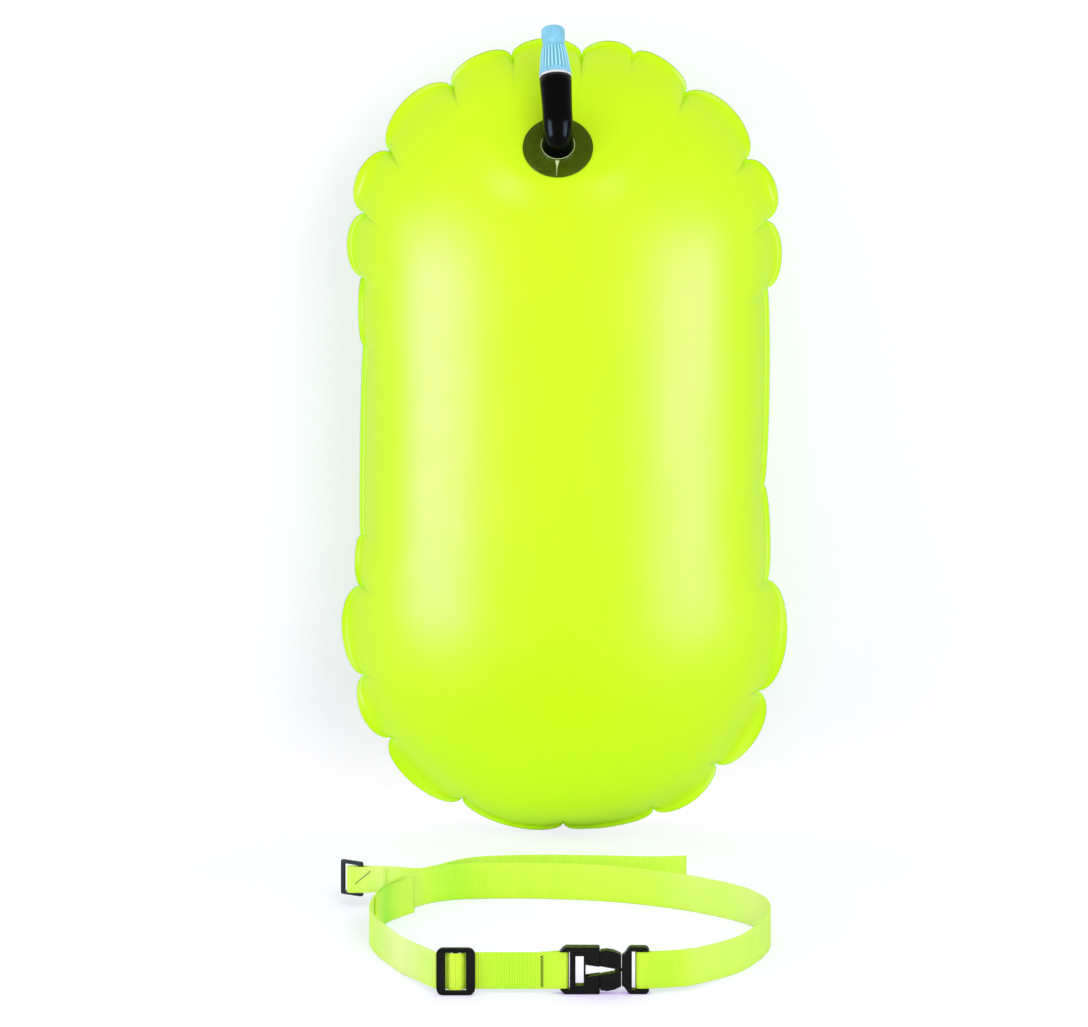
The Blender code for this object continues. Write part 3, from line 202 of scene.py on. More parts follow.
def filmMaterial(name, welded=True):
    material, shader = startMaterial(name, filmLook["middle"], filmLook["roughness"])
    shader.inputs["Specular IOR Level"].default_value = filmLook["gloss"]
    clouds = grain(material, filmLook["cloudSize"], 2)
    span = filmLook["cloudSpan"]
    colour = rampAcross(material, clouds, span, filmLook["cloudy"], filmLook["middle"])
    if welded:
        # Y runs from nothing at the cut edge to one in the middle of the film
        inward = axes(material, "UV")["Y"]
        # the weld band gets its own colour, and the cut edge painted shade
        for part in ("weld", "edge"):
            share = rampAcross(material, inward, filmLook[part + "Span"], 1.0, 0.0)
            colour = blendColours(material, share, colour, filmLook[part])
    join(material, colour, shader.inputs["Base Color"])
    rough = grain(material, filmLook["roughSize"], 4)
    dull = rampAcross(material, rough, grainSpan, *filmLook["roughRange"])
    join(material, dull, shader.inputs["Roughness"])
    peel = grain(material, filmLook["peel"], 4)
    bump(material, shader, peel, filmLook["peelDepth"], filmLook["peelStrength"])
    return material


webLook = {
    "yarn": (0.68, 1.0, 0.052),
    # the pale colour is painted light and sheen, the deep one painted shade; plain webbing takes
    # both as a random tone
    "paleAndPaintedLit": (0.82, 1.0, 0.28),
    "deep": (0.36, 0.93, 0.006),
    "roughness": 0.66,
    "gloss": 0.25,
    "sheen": 0.10,
    "sheenRoughness": 0.5,
    "ribPitch": 0.0034,
    "ribShare": 0.7,
    "warpPitch": 0.0021,
    "warpShare": 0.3,
    "fuzzSize": 0.0004,
    "fuzz": 0.35,
    "depth": 0.00022,
    "strength": 0.9,
    # painted shade in the weave's grooves: how dark, over which part of the weave, and how strong
    # on plain webbing
    "grooveShade": 0.62,
    "grooveSpan": (0.05, 0.5),
    "plainGrooveShade": 0.6,
    "plainFadeSize": 0.03,
    "patchSize": 0.02,
    "patchShade": 0.94,
}


def threadWave(material, along, pitch, share):
    turn = calc(material, "MULTIPLY", along, 2 * math.pi / pitch)
    wave = calc(material, "ABSOLUTE", calc(material, "SINE", turn))
    return calc(material, "MULTIPLY", wave, share)


def webMaterial(name, marked=True):
    material, shader = startMaterial(name, webLook["yarn"], webLook["roughness"])
    shader.inputs["Specular IOR Level"].default_value = webLook["gloss"]
    shader.inputs["Sheen Weight"].default_value = webLook["sheen"]
    shader.inputs["Sheen Roughness"].default_value = webLook["sheenRoughness"]
    run = axes(material, "UV")
    rib = threadWave(material, run["X"], webLook["ribPitch"], webLook["ribShare"])
    warp = threadWave(material, run["Y"], webLook["warpPitch"], webLook["warpShare"])
    weave = calc(material, "ADD", rib, warp)
    fuzz = calc(material, "MULTIPLY", grain(material, webLook["fuzzSize"], 3), webLook["fuzz"])
    height = calc(material, "ADD", weave, fuzz)
    bump(material, shader, height, webLook["depth"], webLook["strength"])
    # marked strips carry painted light and shade by place; plain ones only a random tone
    if marked:
        fade, ribs = painted(material, "fade"), painted(material, "ribs")
    else:
        fade, ribs = grain(material, webLook["plainFadeSize"], 2), webLook["plainGrooveShade"]
    toneAndPaintedLightStops = [(0.0, webLook["deep"]), (0.5, webLook["yarn"]), (1.0, webLook["paleAndPaintedLit"])]
    toneAndPaintedLight = ramp(material, fade, toneAndPaintedLightStops)
    # painted shade in the weave's grooves, as strong as the ribs mark asks
    shade = rampAcross(material, weave, webLook["grooveSpan"], webLook["grooveShade"], 1.0)
    ribbed = blendColours(material, ribs, toneAndPaintedLight, shade, "MULTIPLY")
    patchy = grain(material, webLook["patchSize"], 3)
    patches = rampAcross(material, patchy, grainSpan, webLook["patchShade"], 1.0)
    colour = blendColours(material, 1.0, ribbed, patches, "MULTIPLY")
    join(material, colour, shader.inputs["Base Color"])
    return material


mouldedLook = {
    "toneSize": 0.006,
    "toneDark": 0.75,
    "roughSize": 0.003,
    "roughRange": (0.85, 1.15),
    "strength": 0.7,
}


def mouldedMaterial(name, colour, roughness, grainSize=0.0006, depth=0.00004, gloss=0.5):
    material, shader = startMaterial(name, colour, roughness)
    shader.inputs["Specular IOR Level"].default_value = gloss
    dark = tuple(c * mouldedLook["toneDark"] for c in colour)
    toneGrain = grain(material, mouldedLook["toneSize"], 4)
    tone = rampAcross(material, toneGrain, grainSpan, dark, colour)
    join(material, tone, shader.inputs["Base Color"])
    rough = grain(material, mouldedLook["roughSize"], 4)
    smooth, coarse = (roughness * share for share in mouldedLook["roughRange"])
    dull = rampAcross(material, rough, grainSpan, smooth, coarse)
    join(material, dull, shader.inputs["Roughness"])
    bump(material, shader, grain(material, grainSize, 3), depth, mouldedLook["strength"])
    return material


capLook = {
    "plain": (0.285, 0.700, 0.97),
    # painted highlight on the ribs' ridges and painted shade in their grooves
    "ridge": (0.44, 0.90, 1.0),
    "grooveShade": (0.115, 0.40, 0.60),
    "roughness": 0.36,
    "grainSize": 0.0009,
    "depth": 0.00003,
    "gloss": 0.3,
}


def capMaterial():
    finish = [capLook[key] for key in ("plain", "roughness", "grainSize", "depth", "gloss")]
    material = mouldedMaterial("skyBlueCap", *finish)
    base = material.node_tree.nodes["Principled BSDF"].inputs["Base Color"]
    colour = base.links[0].from_socket
    # ridges painted pale as painted highlight, grooves painted dark as painted shade
    for mark in ("ridge", "grooveShade"):
        colour = blendColours(material, painted(material, mark), colour, capLook[mark])
    join(material, colour, base)
    return material


film = filmMaterial("neonFilm")
patchFilm = filmMaterial("neonPatch", welded=False)
webbing = webMaterial("neonWebbing")
plainWebbing = webMaterial("plainWebbing", marked=False)
blackPlastic = mouldedMaterial("buckleBlack", (0.0042, 0.0042, 0.0048), 0.42, gloss=0.16)
hoseRubber = mouldedMaterial(
    "hoseBlack", (0.0012, 0.0012, 0.0012), 0.18, grainSize=0.004, depth=0.00003, gloss=0.05
)
discTint = mouldedMaterial(
    "oliveDisc", (0.066, 0.108, 0.0), 0.34, grainSize=0.002, depth=0.00003, gloss=0.08
)
beadLime = mouldedMaterial("paleBead", (0.66, 0.80, 0.30), 0.4, grainSize=0.001, depth=0.00003)
innerPlastic = mouldedMaterial("innerBlack", (0.010, 0.010, 0.010), 0.4, gloss=0.3)
silicone = mouldedMaterial("clearSilicone", (0.72, 0.72, 0.68), 0.45, grainSize=0.001)
sealWhite = mouldedMaterial("sealWhite", (0.84, 0.86, 0.90), 0.38, grainSize=0.001)
capBlue = capMaterial()
blackThread = mouldedMaterial("blackThread", (0.012, 0.013, 0.010), 0.7, grainSize=0.0003)
oliveThread = mouldedMaterial("oliveThread", (0.10, 0.15, 0.01), 0.7, grainSize=0.0003)
print("materials made")

# mesh tools


def makeObject(name, mesh, material, body, nodes=()):
    piece = bpy.data.objects.new(name, mesh)
    scene.collection.objects.link(piece)
    mesh.materials.append(material)
    mesh.shade_smooth()
    if nodes:
        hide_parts(*nodes)
    if body:
        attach(piece, body)
    return piece


def sheetMesh(name, rows, uvRows, capStart=False, capEnd=False):
    # every row of points closes on itself, so it has one place more on the flat sheet
    mesh = bpy.data.meshes.new(name)
    count = len(rows[0])
    points = [tuple(p) for row in rows for p in row]
    faces = []
    corners = []
    for r in range(len(rows) - 1):
        for k in range(count):
            n = (k + 1) % count
            faces.append((r * count + k, r * count + n, (r + 1) * count + n, (r + 1) * count + k))
            last = k + 1
            corners += [uvRows[r][k], uvRows[r][last], uvRows[r + 1][last], uvRows[r + 1][k]]
    for wanted, r in ((capStart, 0), (capEnd, len(rows) - 1)):
        if wanted:
            ring = [r * count + k for k in range(count)]
            faces.append(tuple(reversed(ring)) if r == 0 else tuple(ring))
            flat = [uvRows[r][k] for k in range(count)]
            corners += list(reversed(flat)) if r == 0 else flat
    mesh.from_pydata(points, [], faces)
    layer = mesh.uv_layers.new(name="UVMap")
    layer.data.foreach_set("uv", [value for uv in corners for value in uv])
    mesh.validate()
    mesh.update()
    return mesh


def turnedMesh(name, profile, turns, radiusAt=None):
    rows = []
    uvRows = []
    run = 0
    previous = profile[0]
    for radius, height in profile:
        run += math.dist((radius, height), previous)
        previous = (radius, height)
        row = []
        uvRow = []
        for k in range(turns + 1):
            angle = 2 * math.pi * k / turns
            r = radiusAt(radius, height, angle) if radiusAt else radius
            if k < turns:
                row.append((r * math.cos(angle), r * math.sin(angle), height))
            uvRow.append((angle * radius, run))
        rows.append(row)
        uvRows.append(uvRow)
    return sheetMesh(name, rows, uvRows)


def runLengths(points):
    lengths = [0]
    for a, b in zip(points, points[1:]):
        lengths.append(lengths[-1] + (b - a).length)
    return lengths


def directions(points):
    ends = [points[0], *points, points[-1]]
    return [(after - before).normalized() for before, after in zip(ends, ends[2:])]


def tubeMesh(name, points, radiusAt, sides):
    rows = []
    uvRows = []
    turn = [2 * math.pi * k / sides for k in range(sides + 1)]
    ways = directions(points)
    side = ways[0].orthogonal().normalized()
    for index, (point, along, run) in enumerate(zip(points, ways, runLengths(points))):
        side = (side - along * side.dot(along)).normalized()
        other = along.cross(side)
        radius = radiusAt(index / (len(points) - 1)) if callable(radiusAt) else radiusAt
        around = [side * math.cos(a) + other * math.sin(a) for a in turn[:-1]]
        rows.append([point + way * radius for way in around])
        uvRows.append([(run, a * radius) for a in turn])
    return sheetMesh(name, rows, uvRows, True, True)


def paint(mesh, name, values):
    layer = mesh.attributes.new(name, "FLOAT", "POINT")
    layer.data.foreach_set("value", values)


def smoothStep(value):
    value = min(max(value, 0), 1)
    return value * value * (3 - 2 * value)


# inflated bladder

bladder = {
    "height": 0.5565,
    "width": 0.3049,
    "depth": 0.200,
    "film": 0.0006,
    "gap": 0.0003,
    "band": 0.0030,
    "bandSteps": ((0.35, 1.0), (0.75, 1.0), (0.96, 0.85), (1.0, 0.0)),
    "wave": 0.006,
    "waveShape": 1.5,
    "wavePull": 14,
    "floorCut": 0.0005,
    "lobeSteps": 14,
    "hub": 0.004,
    "rings": 44,
    "ringCrowd": 1.7,
    "halfAcross": 0.146,
    "straight": 0.112,
    "domeEnd": 0.162,
    "crown": 0.56,
    "weldPull": 8,
    "rimPull": 9,
    "notchPull": 34,
    "blur": 13,
    "edgeSoft": 14,
    "heartShare": 0.8,
    "heartReach": 0.115,
    "flatBack": 0.0972,
    "filmMark": 0.5,
    "bandMark": 0.4,
    "valve": (-0.0051, -0.0752, 0.4913),
    "valveTilt": math.radians(42),
    "seatRadius": 0.020,
    "seatBlend": 0.046,
    "seatRaise": 0.0075,
}

# notches clockwise from the top: across, up, and the bulge of the lobe that follows
rimNotches = [
    (0.074, 0.974, 0.240), (0.306, 0.975, 0.244), (0.538, 0.926, 0.260), (0.813, 0.843, 0.324),
    (0.903, 0.767, 0.230), (0.909, 0.683, 0.020), (0.897, 0.435, 0.050), (0.913, 0.315, 0.214),
    (0.873, 0.175, 0.285), (0.676, 0.083, 0.214), (0.399, 0.025, 0.145), (-0.009, 0.007, 0.140),
    (-0.464, 0.039, 0.245), (-0.787, 0.116, 0.259), (-0.908, 0.195, 0.228), (-0.926, 0.308, 0.110),
    (-0.925, 0.371, 0.010), (-0.910, 0.611, 0.069), (-0.913, 0.697, 0.264), (-0.903, 0.776, 0.330),
    (-0.788, 0.853, 0.264), (-0.509, 0.935, 0.266), (-0.241, 0.973, 0.228),
]


def bladderRim():
    steps = bladder["lobeSteps"]
    notches = [(x * bladder["width"] / 2, z * bladder["height"], b) for x, z, b in rimNotches]
    rim = []
    for index, (x, z, bulge) in enumerate(notches):
        nextX, nextZ, _ = notches[(index + 1) % len(notches)]
        chord = Vector((nextX - x, nextZ - z))
        outward = Vector((-chord.y, chord.x)).normalized()
        for step in range(steps):
            share = (1 - math.cos(math.pi * step / steps)) / 2
            hump = 4 * share * (1 - share)
            rim.append({
                "chord": Vector((x, z)) + chord * share,
                "swell": outward * bulge * chord.length * math.sqrt(hump),
                "lobe": (-1) ** index * hump ** bladder["waveShape"],
            })
    drop = min(p["chord"].y + p["swell"].y for p in rim) + bladder["floorCut"]
    middle = Vector((0, bladder["height"] / 2))
    reachUp = bladder["heartReach"]
    for p in rim:
        # from here on all places are measured from the middle of the bladder
        p["chord"] = p["chord"] - Vector((0, drop)) - middle
        heartUp = p["chord"].y * bladder["heartShare"]
        p["heart"] = Vector((0, min(max(heartUp, -reachUp), reachUp)))
        p["edge"] = p["chord"] + p["swell"]
        p["weld"] = p["edge"] - (p["edge"] - p["heart"]).normalized() * bladder["band"]
        p["field"] = domeField(p["weld"].x, p["weld"].y)
    reach = range(-bladder["blur"], bladder["blur"] + 1)
    for index, p in enumerate(rim):
        p["softField"] = sum(rim[(index + k) % len(rim)]["field"] for k in reach) / len(reach)
    return rim


def domeField(across, up):
    # nothing on the middle line, about one at the rim
    end = max(0, abs(up) - bladder["straight"]) / bladder["domeEnd"]
    return (across / bladder["halfAcross"]) ** 2 + end**2


def drawnToSeat(x, y, z):
    centre = Vector(bladder["valve"])
    tilt = bladder["valveTilt"]
    flat = centre.y + math.tan(tilt) * (z - centre.z)
    reach = math.hypot(x - centre.x, (z - centre.z) / math.cos(tilt))
    outer = bladder["seatRadius"] + bladder["seatBlend"]
    weight = smoothStep((outer - reach) / bladder["seatBlend"])
    return y + max(flat - y, -bladder["seatRaise"]) * weight


def skinPoint(p, share, side):
    middle = bladder["height"] / 2
    spot = p["heart"].lerp(p["chord"], share)
    spot = spot + (p["weld"] - p["chord"]) * share ** bladder["weldPull"]
    # the pleats show only close to the notches, and fade into one smooth dome
    wanted = p["softField"] + (p["field"] - p["softField"]) * share ** bladder["notchPull"]
    field = domeField(spot.x, spot.y) * (1 + (1 / wanted - 1) * share ** bladder["rimPull"])
    soft = math.sqrt(max(0, 1 - field ** bladder["edgeSoft"]))
    height = bladder["depth"] / 2 * max(0, 1 - field) ** bladder["crown"] * soft
    if side > 0:
        height = min(height, bladder["flatBack"])
    wave = bladder["wave"] * p["lobe"] * share ** bladder["wavePull"]
    x, z = spot.x, spot.y + middle
    y = side * (bladder["gap"] / 2 + height) + wave
    if side < 0:
        y = drawnToSeat(x, y, z)
    return Vector((x, y + side * bladder["film"], max(z, 0)))


def skinMesh(name, rim, side):
    middle = bladder["height"] / 2
    rings = bladder["rings"]
    shares = [1 - (1 - k / rings) ** bladder["ringCrowd"] for k in range(1, rings + 1)]
    rows = []
    marks = []
    for share in [bladder["hub"], *shares]:
        rows.append([skinPoint(p, share, side) for p in rim])
        marks.append(min(bladder["filmMark"] + (1 - share), 1.0))
    for step, lift in bladder["bandSteps"]:
        row = []
        for p in rim:
            spot = p["weld"].lerp(p["edge"], step)
            thick = bladder["gap"] / 2 + bladder["film"] * lift
            y = side * thick + bladder["wave"] * p["lobe"]
            row.append(Vector((spot.x, y, max(spot.y + middle, 0))))
        rows.append(row)
        marks.append(bladder["bandMark"] - bladder["bandMark"] * step)
    count = len(rim)
    uvRows = [[(k / count, mark) for k in range(count + 1)] for mark in marks]
    if side > 0:
        rows = [list(reversed(row)) for row in rows]
        uvRows = [list(reversed(row)) for row in uvRows]
    rows = [[bladderHome + q for q in row] for row in rows]
    return sheetMesh(name, rows, uvRows, capStart=True)


def addBladder():
    rim = bladderRim()
    skins = (("bladderFront", -1, "front_panel"), ("bladderBack", 1, "back_panel"))
    for name, side, node in skins:
        makeObject(name, skinMesh(name, rim, side), film, "bladder", (node,))


addBladder()
print("bladder made")

# webbing of the belt and the leash

belt = {
    "width": 0.025,
    "thick": 0.0015,
    "edge": 0.0006,
    "gap": 0.0003,
    "halfWidth": 0.135,
    "halfDepth": 0.146,
    "frontRun": 0.144,
    "fade": 0.070,
    "step": 0.003,
    "fineStep": 0.002,
    "frontSteps": 18,
    "frontStart": 0.5,
    "tail": 0.040,
    "foldLead": 0.009,
    "foldRoom": 0.002,
    "sewnTail": 0.0125,
    # half a bar, the play and half the webbing
    "barWrap": 0.0016 + 0.0003 + 0.00075,
    # both bars of the buckle are measured from the back of its socket
    "plugBar": -0.0084 + 0.0536,
    "socketBar": -0.0084 + 0.0047 - 0.0016,
    "socketStart": -0.0084,
    "slideAcross": -0.077,
    "slideLength": 0.0257,
    "slideWindow": 0.0138,
    "slideBar": 0.004,
    "slideBarThick": 0.0018,
    "buckleHeight": 0.032,
    # the middle of the painted light and shade, and the least painted shade in the weave's grooves
    "toneAndPaintedLight": 0.5,
    "ribs": 0.12,
}

loopShares = [
    (0.485, -0.975), (0.600, -0.915), (0.748, -0.700), (0.878, -0.440), (0.970, -0.130),
    (0.978, 0.170), (0.915, 0.375), (0.800, 0.540), (0.560, 0.745), (0.267, 0.900),
    (-0.030, 0.975), (-0.360, 0.995), (-0.640, 0.945), (-0.830, 0.740), (-0.950, 0.440),
    (-1.000, 0.110), (-0.972, -0.160), (-0.895, -0.420), (-0.800, -0.690), (-0.720, -0.900),
]
spacing = belt["thick"] + belt["gap"]


def smoothRoute(points, step):
    ends = [points[0] * 2 - points[1], *points, points[-1] * 2 - points[-2]]
    route = [points[0].copy()]
    for a, b, c, d in zip(ends, ends[1:], ends[2:], ends[3:]):
        steps = max(1, round((c - b).length / step))
        square = a * 2 - b * 5 + c * 4 - d
        cube = b * 3 - a - c * 3 + d
        for k in range(1, steps + 1):
            t = k / steps
            route.append((b * 2 + (c - a) * t + square * t**2 + cube * t**3) / 2)
    return route


def halfTurn(centre, radius, start, sweep, steps=12):
    angles = [start + sweep * k / steps for k in range(steps + 1)]
    return [centre + Vector((math.cos(a), math.sin(a))) * radius for a in angles]


def beside(points, distances):
    if not isinstance(distances, list):
        distances = [distances] * len(points)
    return [
        point + Vector((-along.y, along.x)) * distance
        for point, along, distance in zip(points, directions(points), distances)
    ]


def loopRoute():
    places = [Vector((x * belt["halfWidth"], y * belt["halfDepth"])) for x, y in loopShares]
    line = -belt["frontRun"] - belt["barWrap"]
    first = Vector((belt["plugBar"], line))
    last = Vector((belt["slideAcross"] - belt["slideLength"] / 2, line))
    return smoothRoute([first, *places, last], belt["step"])


def middleHeight(point):
    back = point.y + belt["frontRun"]
    share = smoothStep(1 - back / belt["fade"])
    low = belt["width"] / 2
    return low + (belt["buckleHeight"] / 2 - low) * share


def webSection(width):
    # a flat strip with soft edges: outwards and up
    half = width / 2
    thick = belt["thick"] / 2
    edge = belt["edge"]
    front = [(thick, z) for z in (-half + edge, -half * 0.5, 0, half * 0.5, half - edge)]
    top = [(thick * 0.7, half - edge * 0.25), (0, half), (-thick * 0.7, half - edge * 0.25)]
    back = [(-x, -z) for x, z in front]
    bottom = [(-x, -z) for x, z in top]
    return [*front, *top, *back, *bottom]


def stripMesh(name, route, heights, widths, startRun, caps):
    rows = []
    uvRows = []
    runs = runLengths(route)
    for point, along, run, height, width in zip(route, directions(route), runs, heights, widths):
        sideways = Vector((along.y, -along.x))
        section = webSection(width)
        rows.append([
            beltHome + Vector((point.x + sideways.x * x, point.y + sideways.y * x, height + z))
            for x, z in section
        ])
        uvRows.append([(startRun + run, z) for _, z in [*section, section[0]]])
    return sheetMesh(name, rows, uvRows, *caps)


# where the webbing is painted paler as painted light and sheen, or darker as painted shade when
# below nothing: across, back, reach, amount
paintedLightShadeSpots = [
    (-0.112, -0.085, 0.045, 0.46), (-0.128, 0.122, 0.018, 0.42), (0.120, 0.050, 0.042, 0.34),
    (0.085, 0.105, 0.022, 0.16), (-0.078, 0.135, 0.016, -0.26), (-0.126, 0.066, 0.016, -0.40),
    (-0.040, -0.146, 0.026, -0.20), (0.060, -0.148, 0.016, -0.14),
]
# where the painted shade in the weave's grooves is stronger, in the same terms
grooveShadeSpots = [(-0.040, -0.148, 0.034, 1.0), (0.060, -0.150, 0.020, 0.7), (-0.078, -0.150, 0.012, 0.5)]


def spotSum(spots, point):
    return sum(
        amount * math.exp(-((math.hypot(point.x - x, point.y - y) / reach) ** 2))
        for x, y, reach, amount in spots
    )


def addStrip(
    name, route, body, heights=None, widths=None, nodes=(), startRun=0.0, caps=(True, True)
):
    heights = heights or [middleHeight(p) for p in route]
    widths = widths or [belt["width"]] * len(route)
    mesh = stripMesh(name, route, heights, widths, startRun, caps)
    sides = range(len(webSection(belt["width"])))
    # painted light and shade along the strip, and how strong the painted shade in its weave's
    # grooves is
    toneAndPaintedLight = [min(max(belt["toneAndPaintedLight"] + spotSum(paintedLightShadeSpots, p), 0), 1) for p in route]
    ribs = [min(belt["ribs"] + spotSum(grooveShadeSpots, p), 1) for p in route]
    paint(mesh, "fade", [value for value in toneAndPaintedLight for _ in sides])
    paint(mesh, "ribs", [value for value in ribs for _ in sides])
    return makeObject(name, mesh, webbing, body, nodes)


def overSlideBar(line):
    # from the slide's window to the top of its bar: across, and share of the rise
    rise = belt["slideBarThick"] + belt["gap"] * 2 + belt["thick"]
    foot = belt["slideWindow"] / 2 - belt["gap"] * 2
    knee = belt["slideBar"] / 2 + belt["gap"] * 2
    hump = [(-foot, 0), (-foot * 0.8, 0.25), (-knee * 1.1, 0.88), (-knee * 0.5, 1.02), (0, 1.05)]
    left = [Vector((belt["slideAcross"] + x, line - rise * up)) for x, up in hump]
    right = [Vector((belt["slideAcross"] - x, line - rise * up)) for x, up in reversed(hump)]
    return left, right


def addWaistStrap():
    wrap = belt["barWrap"]
    front = -belt["frontRun"]
    line = front - wrap
    loop = loopRoute()
    lengths = runLengths(loop)
    tail = [p for p, length in zip(loop, lengths) if length < belt["tail"]]
    apart = [
        spacing + (2 * wrap - spacing) * (1 - smoothStep(length / belt["foldLead"]))
        for length in lengths[: len(tail)]
    ]
    tail = beside(tail, apart)
    plugFold = halfTurn(Vector((belt["plugBar"], front)), wrap, math.pi / 2, math.pi)[1:-1]
    behind = [k for k, p in enumerate(loop) if p.y > 0]
    backMiddle = min(behind, key=lambda k: abs(loop[k].x))
    plugSide = [*reversed(tail), *plugFold, *loop[: backMiddle + 1]]
    strip = addStrip("waistWebbingRight", plugSide, None, caps=(True, False))
    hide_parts("waist_strap")
    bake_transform(strip)

    left, right = overSlideBar(line)
    leftSide = [*loop[backMiddle:], *left]
    startRun = lengths[backMiddle]
    strip = addStrip("waistWebbingLeft", leftSide, None, startRun=startRun, caps=(False, False))
    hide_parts("waist_strap")
    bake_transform(strip)

    bar = Vector((belt["socketBar"], front))
    socketFold = halfTurn(bar, wrap, -math.pi / 2, math.pi)
    socket = belt["socketStart"]
    sewn = [
        Vector((socket + belt["gap"], front + wrap)),
        Vector((socket - belt["foldLead"] / 2, (line + spacing + front + wrap) / 2)),
        Vector((socket - belt["foldLead"], line + spacing)),
        Vector((socket - belt["sewnTail"], line + spacing)),
    ]
    slideEnd = belt["slideAcross"] + belt["slideLength"] / 2
    across = [Vector((slideEnd + k * belt["step"], line)) for k in range(belt["frontSteps"])]
    across = [p for p in across if p.x < bar.x - belt["foldRoom"]]
    frontSide = [*right, *across, *socketFold, *smoothRoute(sewn, belt["fineStep"])]
    startRun = belt["frontStart"]
    strip = addStrip("waistWebbingFront", frontSide, None, startRun=startRun, caps=(False, True))
    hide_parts("waist_strap")
    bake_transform(strip)
    return loop


stitch = {
    "sides": 6,
    "radius": 0.00040,
    "zigAcross": -0.0199,
    "zigLow": 0.0052,
    "zigHigh": 0.0262,
    "zigHalf": 0.0008,
    "zigCount": 11,
    "zigRaise": 0.0001,
    "seamRadius": 0.00028,
    "seamFrom": (-0.1350, 0.0247),
    "seamTo": (-0.1464, 0.0150),
    "seamSteps": 12,
}


def addThread(name, points, material, radius):
    mesh = tubeMesh(name, points, radius, stitch["sides"])
    makeObject(name, mesh, material, "belt")


def addZigZag():
    front = beltHome.y - belt["frontRun"] - belt["barWrap"] - belt["thick"] / 2
    count = stitch["zigCount"] * 2
    points = []
    for k in range(count + 1):
        across = beltHome.x + stitch["zigAcross"] + stitch["zigHalf"] * (-1) ** k
        height = stitch["zigLow"] + (stitch["zigHigh"] - stitch["zigLow"]) * k / count
        points.append(Vector((across, front - stitch["zigRaise"], beltHome.z + height)))
    addThread("zigZag", points, blackThread, stitch["radius"])


def addTailSeam(layer):
    (fromAcross, fromUp), (toAcross, toUp) = stitch["seamFrom"], stitch["seamTo"]
    steps = stitch["seamSteps"]
    points = []
    for k in range(steps + 1):
        across = fromAcross + (toAcross - fromAcross) * k / steps
        under = min(layer, key=lambda p: abs(p.x - across))
        front = under.y - belt["thick"] / 2 - stitch["seamRadius"] / 2
        points.append(beltHome + Vector((across, front, fromUp + (toUp - fromUp) * k / steps)))
    addThread("tailSeam", points, oliveThread, stitch["seamRadius"])


leash = {
    "endWidth": 0.018,
    "ringSection": 0.0024,
    "ringUp": 0.0175,
    "ringAcross": -0.1424,
    "ringBack": 0.1270,
    "slack": 0.0062,
    "sewn": 0.024,
    "widen": 0.030,
    "tack": (-0.101, -0.089),
}
leashShares = [(-0.500, 1.110), (-0.200, 1.165), (0.120, 1.155), (0.400, 1.130), (0.580, 1.150)]


def addLeashStrap(loop):
    low, high = leash["tack"]
    tack = [p for p in loop if low < p.x < high and p.y > belt["halfDepth"] / 2]
    tack = list(reversed(beside(tack, -spacing)))
    run = [Vector((x * belt["halfWidth"], y * belt["halfDepth"])) for x, y in leashShares]
    bar = Vector((leash["ringAcross"], leash["ringBack"]))
    halfBar = math.hypot(leash["ringSection"], leash["ringSection"]) / 2
    wrap = halfBar + belt["gap"] + belt["thick"] / 2
    centre = bar - Vector((leash["slack"], 0))
    overBar = leash["slack"] + leash["ringSection"]
    leave = centre + Vector((0, wrap))
    lead = [leave, leave + Vector((overBar, 0)), bar + Vector((belt["foldLead"], wrap / 2))]
    main = smoothRoute([*lead, *tack, *run], belt["step"])
    lengths = runLengths(main)
    doubled = [p for p, length in zip(main, lengths) if length < leash["sewn"]]
    apart = [
        -spacing - (2 * wrap - spacing) * (1 - smoothStep((length - overBar) / belt["foldLead"]))
        for length in lengths[: len(doubled)]
    ]
    doubled = beside(doubled, apart)
    fold = halfTurn(centre, wrap, -math.pi / 2, -math.pi)[1:-1]
    route = [*reversed(doubled), *fold, *main]
    widths = []
    heights = []
    for point in route:
        share = smoothStep((point.x - leash["ringAcross"] - leash["sewn"] / 2) / leash["widen"])
        widths.append(leash["endWidth"] + (belt["width"] - leash["endWidth"]) * share)
        heights.append(leash["ringUp"] + (belt["width"] / 2 - leash["ringUp"]) * share)
    addStrip("leashWebbing", route, "belt", heights, widths, ("leash_strap",))
    addTailSeam([*doubled, centre - Vector((0, wrap))])


innerTab = {
    "back": 0.107,
    "front": 0.036,
    "open": 0.0056,
    "joined": 0.6,
    "startRun": 0.9,
}


def addInnerTab(loop):
    side = [p for p in loop if p.x < 0 and innerTab["front"] < p.y < innerTab["back"]]
    lengths = runLengths(side)
    apart = [
        spacing + innerTab["open"] * (1 - smoothStep(length / lengths[-1] / innerTab["joined"]))
        for length in lengths
    ]
    addStrip("innerTab", beside(side, apart), "belt", startRun=innerTab["startRun"])


beltLoop = addWaistStrap()
addLeashStrap(beltLoop)
addZigZag()
addInnerTab(beltLoop)
print("webbing made")

# valve disc, inflation hose and the ribbed cap

valve = {
    "radius": 0.0240,
    "thick": 0.0013,
    "bossRadius": 0.0115,
    "bossHeight": 0.0040,
    "collarRadius": 0.009,
    "collarDepth": 0.006,
    "port": 0.0055,
    "turns": 96,
    "bead": 0.00024,
    "beadIn": 0.0001,
    "beadSides": 16,
}


def valveFrame():
    tilt = bladder["valveTilt"]
    normal = Vector((0, -math.cos(tilt), math.sin(tilt)))
    return bladderHome + Vector(bladder["valve"]) + normal * bladder["film"], normal


